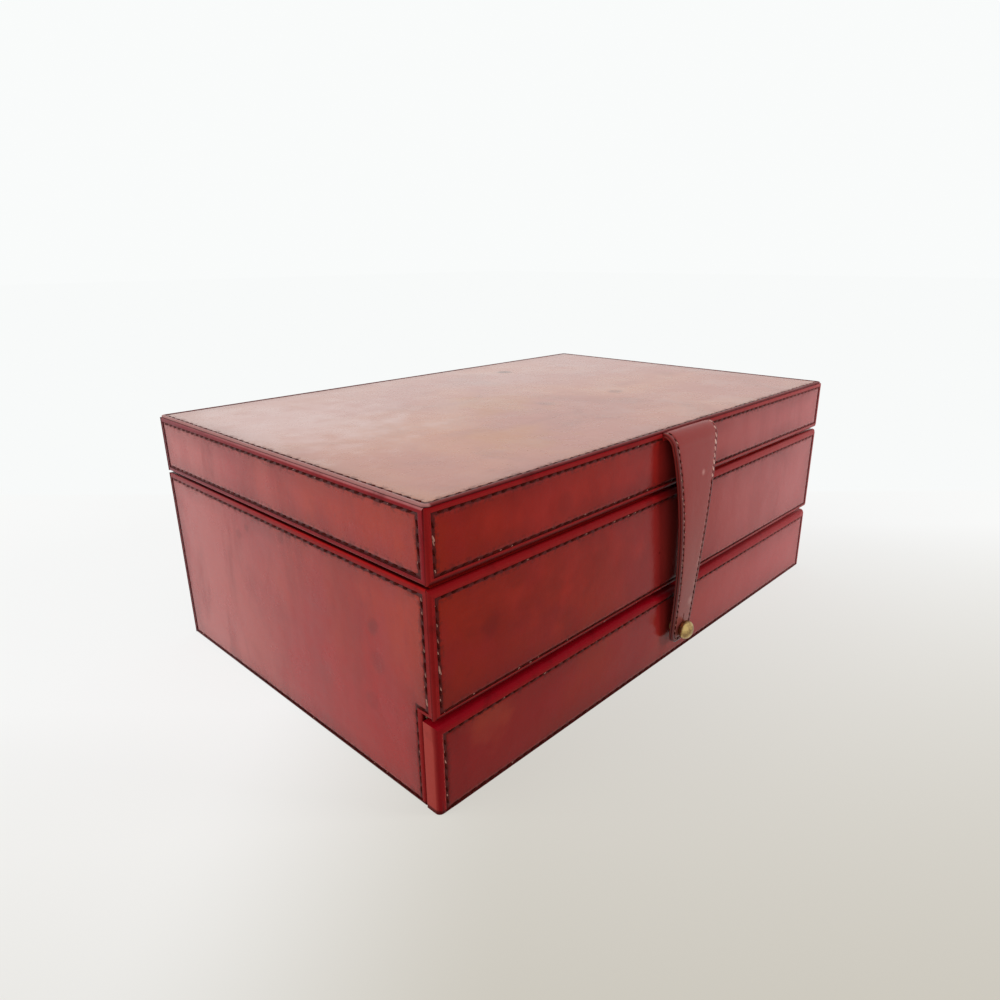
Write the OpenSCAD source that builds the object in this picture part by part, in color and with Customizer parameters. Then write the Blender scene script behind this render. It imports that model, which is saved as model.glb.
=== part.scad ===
// Leather jewelry box: a lined case with a hinged lid, a drawer under the top
// compartment and a tapered strap that buttons over a ball stud on the drawer.
// Millimetres. X runs along the front, the front faces -Y, Z is up.
// The origin is the middle of the footprint, on the surface the box stands on.

/* [Outer size] */
// Width of the box over its leather
box_w = 292; // [250:1:340]
// Depth of the box over its leather
box_d = 191; // [160:1:240]
// Height of the case, from the table to its rim
case_h = 85.3; // [78:0.1:110]
// Height of the lid
lid_h = 26.5; // [22:0.1:40]
// Gap between the rim and the lid
lid_gap = 1.2; // [0.8:0.1:2]

/* [Walls] */
// Thickness of the wall boards
board_t = 6; // [5:0.5:8]
// Thickness of the outer leather
skin_t = 2; // [1.6:0.1:2.6]
// Radius of the rolled edge of a leather panel
bead_r = 1; // [0.5:0.1:1.1]
// Slit between two leather panels that meet at a corner
mitre_gap = 0.1; // [0.05:0.05:0.3]
// Thickness of the leather under the box
base_skin_t = 1.2; // [1:0.1:2]
// Height of the lower edge of the side leathers above the table
skirt_z = 0.3; // [0.2:0.1:0.9]
// Thickness of the case floor
floor_t = 4; // [3:0.5:6]
// Thickness of the shelf between the drawer and the top compartment
shelf_t = 4; // [3:0.5:6]
// Thickness of the lid's top board
lid_board_t = 4.8; // [4:0.1:7]
// Thickness of the leather binding on the rims
binding_t = 1; // [0.8:0.1:1.4]
// Thickness of the suede lining
lining_t = 1; // [0.6:0.1:1.5]

/* [Top panel] */
// How far the top leather stays back from the sides
top_inset = 0.4; // [0.2:0.1:2]
// Corner radius of the top leather
top_corner_r = 3; // [2:0.5:6]

/* [Drawer] */
// Height of the drawer front
drawer_front_h = 35.3; // [30:0.1:42]
// Gap between the drawer front and the table
drawer_lift = 0.3; // [0.2:0.1:1]
// Gap above the drawer front
drawer_reveal = 2.4; // [1:0.1:3]
// Thickness of the drawer front's board
drawer_board_t = 5; // [4:0.5:8]
// Radius of the drawer front's wrapped edges
drawer_edge_r = 1.8; // [1:0.1:2]
// Gap between the drawer front and the end of the case sides
notch_gap = 0.5; // [0.3:0.1:1]
// Thickness of the drawer sides and back
drawer_wall_t = 3; // [2:0.5:5]
// Thickness of the drawer bottom
drawer_bottom_t = 2.5; // [2:0.5:4]
// Clearance at each side of the drawer
drawer_side_gap = 0.6; // [0.4:0.1:1]
// Clearance under the drawer, above the felt it runs on
drawer_rise = 0.3; // [0.2:0.05:0.5]
// Clearance behind the drawer
drawer_back_gap = 0.8; // [0.5:0.1:3]
// How much lower the drawer sides are than the drawer front
drawer_side_drop = 1; // [0.5:0.5:5]
// Thickness of the felt on the case floor
felt_t = 0.8; // [0.5:0.1:1.5]
// Distance of the drawer dividers from the middle
drawer_divider_x = 46; // [30:1:80]
// Height of the drawer dividers
drawer_divider_h = 18; // [10:1:20]

/* [Top compartment] */
// Thickness of the suede-covered dividers
divider_t = 3; // [2:0.5:4]
// Height of the dividers
divider_h = 28; // [15:1:32]
// Place of the long divider, from the middle towards the back
long_divider_y = 10; // [-10:1:20]
// Distance of the rear cross dividers from the middle
rear_divider_x = 46; // [30:1:70]
// Diameter of a ring roll
roll_d = 15; // [12:0.5:18]
// Height of a ring roll's middle above its flat foot
roll_mid = 6; // [4:0.5:7]
// Play at each end of a ring roll
roll_play = 0.4; // [0.2:0.1:1]

/* [Hinges] */
// Distance of each hinge's middle from the end of the box
hinge_inset = 56; // [30:1:85]
// Length of a hinge
hinge_l = 30; // [24:1:40]
// Depth of a leaf from the back of the box
leaf_w = 7; // [6:0.5:7.5]
// Radius of the hinge knuckles
knuckle_r = 2; // [1.8:0.1:2.5]
// Radius of the hinge pin
pin_r = 1; // [0.8:0.05:1.1]
// Running clearance of the pin
pin_clear = 0.05; // [0.02:0.01:0.09]
// Gap between the knuckles and the back leather
knuckle_gap = 0.3; // [0.2:0.1:0.6]
// Gap between two knuckles
knuckle_slit = 0.2; // [0.1:0.05:0.4]
// Length of an outer knuckle
outer_knuckle_l = 9; // [6:0.5:10]
// Distance between the screws of a leaf
screw_pitch = 10; // [8:0.5:11]
// Radius of a hinge screw's shank
screw_r = 0.9; // [0.7:0.05:1]
// Radius of a hinge screw's head
screw_head_r = 1.9; // [1.6:0.05:2]
// Length of a hinge screw under its head
screw_l = 6.5; // [4:0.5:9]

/* [Strap] */
// Width of the strap where it leaves the lid
strap_top_w = 36.8; // [30:0.2:50]
// Width of the strap at its end
strap_end_w = 15; // [13:0.5:24]
// Thickness of one of the strap's two layers
strap_layer_t = 1.2; // [0.8:0.1:1.5]
// Radius of the strap's fold over the lid's edge, to its middle
strap_fold_r = 4.8; // [3.5:0.1:7]
// How far the strap's middle stands off the front at the stud
strap_stand = 3.7; // [3.2:0.1:5]
// How much further the strap bows out between the fold and the stud
strap_bow = 2.4; // [0:0.1:4]
// Height of the strap's end above the table
strap_end_z = 10; // [6:0.5:11.5]
// Radius of the corners at the strap's end
strap_corner_r = 4; // [2:0.5:6]
// Length of the strap sewn in under the top leather
strap_root_l = 25; // [15:1:40]
// Play around the sewn-in end in its recess
strap_play = 0.2; // [0.1:0.05:0.4]
// Gap between the ball and the edge of the buttonhole
buttonhole_gap = 0.3; // [0.2:0.05:0.6]
// Length of the slit above the buttonhole
slit_l = 5; // [3:0.5:8]
// Width of the slit
slit_w = 0.8; // [0.5:0.1:1.2]

/* [Stud] */
// Height of the stud above the table
stud_z = 16; // [13:0.5:22]
// Radius of the stud's ball
ball_r = 4.1; // [3:0.05:4.5]
// Distance of the ball's middle from the drawer front
ball_stand = 7.5; // [6.5:0.1:9]
// Radius of the stud's neck
neck_r = 2.2; // [2:0.05:2.6]
// Radius of the stud's base
stud_base_r = 3.2; // [2.8:0.1:6]
// Thickness of the stud's base
stud_base_t = 1; // [0.6:0.1:1.5]
// Radius of the screw that holds the stud
stud_screw_r = 1.5; // [1.2:0.05:1.6]
// Clearance around that screw
stud_screw_gap = 0.05; // [0.03:0.01:0.1]
// Radius of that screw's head
stud_head_r = 3; // [2.5:0.1:4]
// Thickness of that screw's head
stud_head_t = 1.2; // [0.8:0.1:2]
// How far that screw reaches into the stud
stud_screw_grip = 4.5; // [3:0.5:5]

/* [Hidden] */
$fn = 48;

// Colours
oxblood = [0.46, 0.07, 0.07];
edge_red = [0.62, 0.1, 0.1];
suede = [0.62, 0.5, 0.42];
board = [0.72, 0.6, 0.44];
brass = [0.72, 0.55, 0.25];
felt = [0.3, 0.12, 0.12];

// Half sizes at the leather, at the boards and inside the boards
out_x = box_w / 2;
out_y = box_d / 2;
wall_x = out_x - skin_t;
wall_y = out_y - skin_t;
in_x = wall_x - board_t;
in_y = wall_y - board_t;

// Heights in the case
floor_top = base_skin_t + floor_t;
felt_top = floor_top + felt_t;
drawer_front_top = drawer_lift + drawer_front_h;
rail_z = drawer_front_top + drawer_reveal;
shelf_top = rail_z + shelf_t;
well_z = shelf_top + lining_t;
case_board_top = case_h - binding_t;

// Heights in the lid
lid_z = case_h + lid_gap;
lid_top = lid_z + lid_h;
lid_skin_top = lid_top - skin_t;
lid_board_z = lid_skin_top - lid_board_t;
lid_wall_z = lid_z + binding_t;

// Inside of the linings
well_x = in_x - lining_t;
well_y = in_y - lining_t;

// The drawer
drawer_front_t = skin_t + drawer_board_t;
drawer_face_y = -out_y + drawer_front_t;
notch_y = drawer_face_y + notch_gap;
drawer_x = in_x - drawer_side_gap;
drawer_z = felt_top + drawer_rise;
drawer_back_y = in_y - drawer_back_gap;
drawer_side_top = drawer_front_top - drawer_side_drop;
drawer_in_x = drawer_x - drawer_wall_t;
drawer_in_y = drawer_back_y - drawer_wall_t;
drawer_bottom_top = drawer_z + drawer_bottom_t;
drawer_floor_z = drawer_bottom_top + lining_t;

// The hinges
hinge_x = out_x - hinge_inset;
axis_y = out_y + knuckle_r + knuckle_gap;
axis_z = case_h + lid_gap / 2;
screw_y = (in_y + wall_y) / 2;
leaf_t = binding_t;
leaf_play = 0.2;
screw_play = 0.05;
mid_knuckle_l = hinge_l - 2 * outer_knuckle_l - 2 * knuckle_slit;

// The strap. Its side view follows its middle line: a quarter round over the
// edge of the lid, then a shallow bow down to its end.
strap_t = 2 * strap_layer_t;
strap_root_z = lid_skin_top - strap_t;
fold_z = lid_skin_top - strap_layer_t;
hang_z = fold_z - strap_fold_r;
fold_steps = 10;
hang_steps = 24;
bow_skew = 0.8;
function stand_at(z) =
    let (u = min(1, (hang_z - z) / (hang_z - stud_z)))
    strap_fold_r * (1 - u) + strap_stand * u + strap_bow * sin(180 * pow(max(u, 0), bow_skew));
strap_line = concat(
    [for (i = [0 : fold_steps])
        let (a = 90 * i / fold_steps)
        [-out_y - strap_fold_r * sin(a), hang_z + strap_fold_r * cos(a)]],
    [for (i = [1 : hang_steps])
        let (z = hang_z + (strap_end_z - hang_z) * i / hang_steps)
        [-out_y - stand_at(z), z]]);

// The stud
ball_y = -out_y - ball_stand;
strap_face = strap_stand + strap_layer_t;
ball_cut_r = sqrt(pow(ball_r, 2) - pow(ball_stand - strap_face, 2));
hole_r = max(ball_cut_r, neck_r) + buttonhole_gap;

eps = 0.5;

// A block between two opposite corners
module block(lo, hi) {
    translate(lo) cube(hi - lo);
}

// A rectangular ring of board or lining, standing between two heights
module ring(x, y, t, z0, z1) {
    difference() {
        block([-x, -y, z0], [x, y, z1]);
        block([-x + t, -y + t, z0 - eps], [x - t, y - t, z1 + eps]);
    }
}

// Points of an arc of radius r around [x, y], from angle a0 to a1
function arc(x, y, r, a0, a1, steps) =
    [for (i = [0 : steps])
        let (a = a0 + (a1 - a0) * i / steps)
        [x + r * cos(a), y + r * sin(a)]];

// Plan of a panel along X with its face at y = 0: each end rolls round to the
// mitre that it shares with the next panel
module panel_plan(l) {
    tip = bead_r * (1 + sqrt(2)) + mitre_gap;
    half = concat(
        arc(l / 2 - tip, bead_r, bead_r, -90, 45, 5),
        [[l / 2 - skin_t - mitre_gap, skin_t]]);
    polygon(concat(half, [for (i = [len(half) - 1 : -1 : 0]) [-half[i][0], half[i][1]]]));
}

// End view of a panel between two heights, with both long edges rolled
module panel_profile(z0, z1) {
    polygon(concat(
        [[skin_t, z0]],
        arc(bead_r, z0 + bead_r, bead_r, -90, -180, 4),
        arc(bead_r, z1 - bead_r, bead_r, 180, 90, 4),
        [[skin_t, z1]]));
}

// A leather panel of length l on the front, its face at y = 0
module panel(l, z0, z1) {
    intersection() {
        translate([0, 0, z0]) linear_extrude(z1 - z0) panel_plan(l);
        translate([-l / 2, 0, 0]) rotate([90, 0, 90]) linear_extrude(l) panel_profile(z0, z1);
    }
}

// The same panel placed on one of the four sides
module front_panel(z0, z1) {
    translate([0, -out_y, 0]) panel(box_w, z0, z1);
}
module back_panel(z0, z1) {
    rotate([0, 0, 180]) front_panel(z0, z1);
}
module left_panel(z0, z1) {
    translate([-out_x, 0, 0]) rotate([0, 0, -90]) panel(box_d, z0, z1);
}
module right_panel(z0, z1) {
    rotate([0, 0, 180]) left_panel(z0, z1);
}

// The space that the drawer front takes out of the case sides
module front_notch() {
    block([-out_x - eps, -out_y - eps, -eps], [out_x + eps, notch_y, rail_z]);
}

// Case boards
module case_side(x0, x1) {
    color(board) difference() {
        block([x0, -wall_y, base_skin_t], [x1, wall_y, case_board_top]);
        front_notch();
    }
}
module case_side_left() {
    case_side(-wall_x, -in_x);
}
module case_side_right() {
    case_side(in_x, wall_x);
}
module case_floor() {
    color(board) block([-in_x, notch_y, base_skin_t], [in_x, in_y, floor_top]);
}
module case_back() {
    color(board) difference() {
        block([-in_x, in_y, base_skin_t], [in_x, wall_y, case_board_top]);
        at_screws(case_board_top) screw_hole(-1);
    }
}
module front_rail() {
    color(board) block([-in_x, -wall_y, rail_z], [in_x, -in_y, case_board_top]);
}
module shelf() {
    color(board) block([-in_x, -in_y, rail_z], [in_x, in_y, shelf_top]);
}

// Case leather
module base_leather() {
    color(oxblood) block([-wall_x, notch_y, 0], [wall_x, wall_y, base_skin_t]);
}
module case_front_leather() {
    color(oxblood) front_panel(rail_z, case_h);
}
module case_left_leather() {
    color(oxblood) difference() {
        left_panel(skirt_z, case_h);
        front_notch();
    }
}
module case_right_leather() {
    color(oxblood) difference() {
        right_panel(skirt_z, case_h);
        front_notch();
    }
}
module case_back_leather() {
    color(oxblood) difference() {
        back_panel(skirt_z, case_h);
        leaf_recess(case_board_top, case_h + eps);
    }
}
module case_rim_binding() {
    color(edge_red) difference() {
        rim_ring(case_board_top, case_h);
        leaf_recess(case_board_top - eps, case_h + eps);
    }
}

// The binding of a rim, over the boards and the lining
module rim_ring(z0, z1) {
    difference() {
        block([-wall_x, -wall_y, z0], [wall_x, wall_y, z1]);
        block([-well_x, -well_y, z0 - eps], [well_x, well_y, z1 + eps]);
    }
}

// Inside of the case
module bay_felt() {
    color(felt) block([-in_x, notch_y, floor_top], [in_x, in_y, felt_top]);
}
module well_floor_lining() {
    color(suede) block([-in_x, -in_y, shelf_top], [in_x, in_y, well_z]);
}
module well_wall_lining() {
    color(suede) ring(in_x, in_y, lining_t, well_z, case_board_top);
}
module long_divider() {
    color(suede) block([-well_x, long_divider_y - divider_t / 2, well_z],
        [well_x, long_divider_y + divider_t / 2, well_z + divider_h]);
}
module front_cross_divider() {
    color(suede) block([-divider_t / 2, -well_y, well_z],
        [divider_t / 2, long_divider_y - divider_t / 2, well_z + divider_h]);
}
module rear_cross_divider(x) {
    color(suede) block([x - divider_t / 2, long_divider_y + divider_t / 2, well_z],
        [x + divider_t / 2, well_y, well_z + divider_h]);
}
module rear_cross_divider_left() {
    rear_cross_divider(-rear_divider_x);
}
module rear_cross_divider_right() {
    rear_cross_divider(rear_divider_x);
}

// Padded rolls side by side in the left front compartment: rings stand between them
module ring_rolls() {
    room = well_y + long_divider_y - divider_t / 2;
    count = floor(room / roll_d);
    pitch = room / count;
    color(suede) for (i = [0 : count - 1])
        translate([-well_x + roll_play, -well_y + (i + 0.5) * pitch, 0]) ring_roll();
}
module ring_roll() {
    l = well_x - divider_t / 2 - 2 * roll_play;
    intersection() {
        translate([0, 0, well_z + roll_mid]) rotate([0, 90, 0])
            cylinder(d = roll_d, h = l);
        block([0, -roll_d, well_z], [l, roll_d, well_z + 2 * roll_d]);
    }
}

// Hinges: a leaf on each rim, knuckles outside the back, and a pin
module at_hinges() {
    for (x = [-hinge_x, hinge_x]) translate([x, 0, 0]) children();
}
module leaf_recess(z0, z1) {
    at_hinges() block([-hinge_l / 2 - leaf_play, out_y - leaf_w - leaf_play, z0],
        [hinge_l / 2 + leaf_play, out_y + eps, z1]);
}
module knuckle(x0, x1) {
    translate([x0, axis_y, axis_z]) rotate([0, 90, 0]) cylinder(r = knuckle_r, h = x1 - x0);
}
module screw_xs() {
    for (i = [-1, 0, 1]) translate([i * screw_pitch, screw_y, 0]) children();
}
module at_screws(z) {
    at_hinges() screw_xs() translate([0, 0, z]) children();
}
module screw_hole(way) {
    l = screw_l + eps;
    translate([0, 0, way < 0 ? -l : -eps]) cylinder(r = screw_r + screw_play, h = l + eps);
}
module countersunk(play) {
    translate([0, 0, -leaf_t]) cylinder(r1 = screw_r + play, r2 = screw_head_r + play, h = leaf_t);
}
module hinge_bore() {
    translate([-hinge_l, axis_y, axis_z]) rotate([0, 90, 0])
        cylinder(r = pin_r + pin_clear, h = 2 * hinge_l);
}
module case_leaf() {
    end = hinge_l / 2;
    color(brass) difference() {
        union() {
            block([-end, out_y - leaf_w, case_h - leaf_t], [end, out_y, case_h]);
            for (x = [-end, end - outer_knuckle_l]) {
                knuckle(x, x + outer_knuckle_l);
                block([x, out_y - eps, case_h - leaf_t], [x + outer_knuckle_l, axis_y, case_h]);
            }
        }
        hinge_bore();
        screw_xs() translate([0, 0, case_h]) countersunk(screw_play);
    }
}
module lid_leaf() {
    end = hinge_l / 2;
    mid = mid_knuckle_l / 2;
    color(brass) difference() {
        union() {
            block([-end, out_y - leaf_w, lid_z], [end, out_y, lid_z + leaf_t]);
            knuckle(-mid, mid);
            block([-mid, out_y - eps, lid_z], [mid, axis_y, lid_z + leaf_t]);
        }
        hinge_bore();
        screw_xs() translate([0, 0, lid_z]) rotate([180, 0, 0]) countersunk(screw_play);
    }
}
module hinge_pin() {
    color(brass) translate([-hinge_l / 2, axis_y, axis_z]) rotate([0, 90, 0])
        cylinder(r = pin_r, h = hinge_l);
}
module hinge_screw() {
    color(brass) rotate_extrude() polygon([[0, 0], [screw_head_r, 0], [screw_r, -leaf_t],
        [screw_r, -leaf_t - screw_l + screw_r], [0, -leaf_t - screw_l]]);
}
module case_hinge_leaf_left() {
    translate([-hinge_x, 0, 0]) case_leaf();
}
module case_hinge_leaf_right() {
    translate([hinge_x, 0, 0]) case_leaf();
}
module lid_hinge_leaf_left() {
    translate([-hinge_x, 0, 0]) lid_leaf();
}
module lid_hinge_leaf_right() {
    translate([hinge_x, 0, 0]) lid_leaf();
}
module hinge_pin_left() {
    translate([-hinge_x, 0, 0]) hinge_pin();
}
module hinge_pin_right() {
    translate([hinge_x, 0, 0]) hinge_pin();
}
module case_hinge_screws() {
    at_screws(case_h) hinge_screw();
}
module lid_hinge_screws() {
    at_screws(lid_z) rotate([180, 0, 0]) hinge_screw();
}

// Lid boards
module lid_top_board() {
    color(board) difference() {
        block([-wall_x, -wall_y, lid_board_z], [wall_x, wall_y, lid_skin_top]);
        strap_recess();
    }
}
module lid_front_wall() {
    color(board) block([-in_x, -wall_y, lid_wall_z], [in_x, -in_y, lid_board_z]);
}
module lid_back_wall() {
    color(board) difference() {
        block([-in_x, in_y, lid_wall_z], [in_x, wall_y, lid_board_z]);
        at_screws(lid_wall_z) screw_hole(1);
    }
}
module lid_left_wall() {
    color(board) block([-wall_x, -wall_y, lid_wall_z], [-in_x, wall_y, lid_board_z]);
}
module lid_right_wall() {
    color(board) block([in_x, -wall_y, lid_wall_z], [wall_x, wall_y, lid_board_z]);
}

// Lid leather
module rounded_plan(x, y, r) {
    polygon(concat(arc(x - r, y - r, r, 0, 90, 6), arc(r - x, y - r, r, 90, 180, 6),
        arc(r - x, r - y, r, 180, 270, 6), arc(x - r, r - y, r, 270, 360, 6)));
}
module top_profile(half, z0, z1) {
    r = bead_r;
    polygon(concat([[-half, z0], [half, z0]], arc(half - r, z1 - r, r, 0, 90, 4),
        arc(r - half, z1 - r, r, 90, 180, 4)));
}
module lid_top_leather() {
    x = out_x - top_inset;
    y = out_y - top_inset;
    color(oxblood) intersection() {
        translate([0, 0, lid_skin_top]) linear_extrude(skin_t) rounded_plan(x, y, top_corner_r);
        translate([0, y, 0]) rotate([90, 0, 0]) linear_extrude(2 * y)
            top_profile(x, lid_skin_top, lid_top);
        translate([-x, 0, 0]) rotate([90, 0, 90]) linear_extrude(2 * x)
            top_profile(y, lid_skin_top, lid_top);
    }
}
module lid_front_leather() {
    color(oxblood) difference() {
        front_panel(lid_z, lid_skin_top);
        strap_recess();
    }
}
module lid_left_leather() {
    color(oxblood) left_panel(lid_z, lid_skin_top);
}
module lid_right_leather() {
    color(oxblood) right_panel(lid_z, lid_skin_top);
}
module lid_back_leather() {
    color(oxblood) difference() {
        back_panel(lid_z, lid_skin_top);
        leaf_recess(lid_z - eps, lid_wall_z);
    }
}
module lid_rim_binding() {
    color(edge_red) difference() {
        rim_ring(lid_z, lid_wall_z);
        leaf_recess(lid_z - eps, lid_wall_z + eps);
    }
}
module lid_top_lining() {
    color(suede) block([-in_x, -in_y, lid_board_z - lining_t], [in_x, in_y, lid_board_z]);
}
module lid_wall_lining() {
    color(suede) ring(in_x, in_y, lining_t, lid_wall_z, lid_board_z - lining_t);
}

// The strap: its sewn-in end belongs to the lid, its two layers swing in front
module strap_recess() {
    x = strap_top_w / 2 + strap_play;
    block([-x, -out_y - eps, strap_root_z], [x, -out_y + strap_root_l + strap_play,
        lid_skin_top + eps]);
}
module strap_root() {
    x = strap_top_w / 2;
    color(oxblood) block([-x, -out_y, strap_root_z], [x, -out_y + strap_root_l, lid_skin_top]);
}

// Front view of the strap: its sides draw in towards the end in a smooth curve
function strap_half_w(z) =
    let (s = (z - strap_end_z) / (lid_skin_top - strap_end_z))
    (strap_end_w + (strap_top_w - strap_end_w) * pow(s, 2)) / 2;
module strap_outline() {
    steps = 20;
    z0 = strap_end_z + strap_corner_r;
    x0 = strap_half_w(z0);
    side = concat(
        arc(x0 - strap_corner_r, z0, strap_corner_r, -90, 0, 6),
        [for (i = [1 : steps]) let (z = z0 + (lid_skin_top - z0) * i / steps)
            [strap_half_w(z), z]]);
    polygon(concat(side, [for (i = [len(side) - 1 : -1 : 0]) [-side[i][0], side[i][1]]]));
}

// Side view of one layer, between two offsets from the strap's middle line
function step_way(p, i) = p[min(i + 1, len(p) - 1)] - p[max(i - 1, 0)];
function square_to(v) = [v[1], -v[0]] / norm(v);
function offset_line(d) =
    [for (i = [0 : len(strap_line) - 1])
        strap_line[i] + d * (i == 0 ? [0, 1]
            : i == len(strap_line) - 1 ? [-1, 0]
            : square_to(step_way(strap_line, i)))];
module layer_profile(inner, outer) {
    a = offset_line(inner);
    b = offset_line(outer);
    polygon(concat(a, [for (i = [len(b) - 1 : -1 : 0]) b[i]]));
}
module strap_layer(inner, outer) {
    w = strap_top_w;
    difference() {
        intersection() {
            translate([-w / 2, 0, 0]) rotate([90, 0, 90]) linear_extrude(w)
                layer_profile(inner, outer);
            translate([0, -out_y, 0]) rotate([90, 0, 0]) linear_extrude(box_d)
                strap_outline();
        }
        translate([0, -out_y, stud_z]) rotate([90, 0, 0]) cylinder(r = hole_r, h = box_d);
        block([-slit_w / 2, -2 * out_y, stud_z], [slit_w / 2, -out_y, stud_z + hole_r + slit_l]);
    }
}
module strap_outer() {
    color(oxblood) strap_layer(0, strap_layer_t);
}
module strap_lining() {
    color(edge_red) strap_layer(-strap_layer_t, 0);
}

// Drawer
module drawer_front_shape() {
    r = drawer_edge_r;
    y = drawer_front_t;
    intersection() {
        translate([0, -out_y, drawer_lift]) linear_extrude(drawer_front_h)
            polygon(concat([[-out_x, y]], arc(-out_x + r, r, r, 180, 270, 5),
                arc(out_x - r, r, r, 270, 360, 5), [[out_x, y]]));
        translate([-out_x, -out_y, 0]) rotate([90, 0, 90]) linear_extrude(box_w)
            polygon(concat([[y, drawer_lift]],
                arc(r, drawer_lift + r, r, 270, 180, 5),
                arc(r, drawer_front_top - r, r, 180, 90, 5), [[y, drawer_front_top]]));
    }
}
module drawer_front_leather() {
    color(oxblood) difference() {
        drawer_front_shape();
        block([-wall_x, -wall_y, drawer_lift + skin_t],
            [wall_x, drawer_face_y + eps, drawer_front_top - skin_t]);
        stud_screw_hole();
    }
}
module drawer_front() {
    color(board) difference() {
        block([-wall_x, -wall_y, drawer_lift + skin_t],
            [wall_x, drawer_face_y, drawer_front_top - skin_t]);
        stud_screw_hole();
        at_stud(drawer_face_y - stud_head_t - stud_screw_gap)
            cylinder(r = stud_head_r + stud_screw_gap, h = stud_head_t + eps);
    }
}
module drawer_side(x) {
    color(board) block([x, drawer_face_y, drawer_z],
        [x + drawer_wall_t, drawer_back_y, drawer_side_top]);
}
module drawer_left_side() {
    drawer_side(-drawer_x);
}
module drawer_right_side() {
    drawer_side(drawer_in_x);
}
module drawer_back() {
    color(board) block([-drawer_in_x, drawer_in_y, drawer_z],
        [drawer_in_x, drawer_back_y, drawer_side_top]);
}
module drawer_bottom() {
    color(board) block([-drawer_in_x, drawer_face_y, drawer_z],
        [drawer_in_x, drawer_in_y, drawer_bottom_top]);
}
module drawer_floor_lining() {
    color(suede) block([-drawer_in_x, drawer_face_y, drawer_bottom_top],
        [drawer_in_x, drawer_in_y, drawer_floor_z]);
}
module drawer_wall_lining() {
    color(suede) difference() {
        block([-drawer_in_x, drawer_face_y, drawer_floor_z],
            [drawer_in_x, drawer_in_y, drawer_side_top - lining_t]);
        block([-drawer_in_x + lining_t, drawer_face_y + lining_t, drawer_floor_z - eps],
            [drawer_in_x - lining_t, drawer_in_y - lining_t, drawer_side_top]);
    }
}
module drawer_divider(x) {
    color(suede) block([x - divider_t / 2, drawer_face_y + lining_t, drawer_floor_z],
        [x + divider_t / 2, drawer_in_y - lining_t, drawer_floor_z + drawer_divider_h]);
}
module drawer_divider_left() {
    drawer_divider(-drawer_divider_x);
}
module drawer_divider_right() {
    drawer_divider(drawer_divider_x);
}

// Ball stud, held from inside the drawer front by a screw. Along these pieces
// z = 0 is at the given y and z points to the back of the box.
module at_stud(y) {
    translate([0, y, stud_z]) rotate([-90, 0, 0]) children();
}
module stud_screw_hole() {
    at_stud(-out_y - eps)
        cylinder(r = stud_screw_r + stud_screw_gap, h = drawer_front_t + 2 * eps);
}
module drawer_stud() {
    neck_l = ball_stand - sqrt(pow(ball_r, 2) - pow(neck_r, 2));
    start = acos(neck_r / ball_r);
    color(brass) at_stud(-out_y) difference() {
        rotate_extrude() polygon(concat(
            [[0, 0], [stud_base_r, 0], [stud_base_r, -stud_base_t / 2],
                [stud_base_r - stud_base_t / 2, -stud_base_t], [neck_r, -stud_base_t],
                [neck_r, -neck_l]],
            arc(0, -ball_stand, ball_r, start, -90, 20)));
        translate([0, 0, -stud_screw_grip - stud_screw_gap])
            cylinder(r = stud_screw_r + stud_screw_gap, h = stud_screw_grip + eps);
    }
}
module stud_screw() {
    color(brass) at_stud(drawer_face_y) union() {
        translate([0, 0, -stud_head_t]) cylinder(r = stud_head_r, h = stud_head_t);
        translate([0, 0, -drawer_front_t - stud_screw_grip])
            cylinder(r = stud_screw_r, h = drawer_front_t + stud_screw_grip);
    }
}

base_leather();
case_floor();
case_side_left();
case_side_right();
case_back();
front_rail();
shelf();
case_front_leather();
case_left_leather();
case_right_leather();
case_back_leather();
case_rim_binding();
bay_felt();
well_floor_lining();
well_wall_lining();
long_divider();
front_cross_divider();
rear_cross_divider_left();
rear_cross_divider_right();
ring_rolls();
case_hinge_leaf_left();
case_hinge_leaf_right();
hinge_pin_left();
hinge_pin_right();
case_hinge_screws();
lid_top_board();
lid_front_wall();
lid_back_wall();
lid_left_wall();
lid_right_wall();
lid_top_leather();
lid_front_leather();
lid_left_leather();
lid_right_leather();
lid_back_leather();
lid_rim_binding();
lid_top_lining();
lid_wall_lining();
lid_hinge_leaf_left();
lid_hinge_leaf_right();
lid_hinge_screws();
strap_root();
strap_outer();
strap_lining();
drawer_front();
drawer_front_leather();
drawer_left_side();
drawer_right_side();
drawer_back();
drawer_bottom();
drawer_floor_lining();
drawer_wall_lining();
drawer_divider_left();
drawer_divider_right();
drawer_stud();
stud_screw();
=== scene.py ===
from math import asin, cos, dist, exp, hypot, pi, radians, sin
import random

import bpy
import numpy as np
from mathutils import Matrix, Vector


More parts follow.
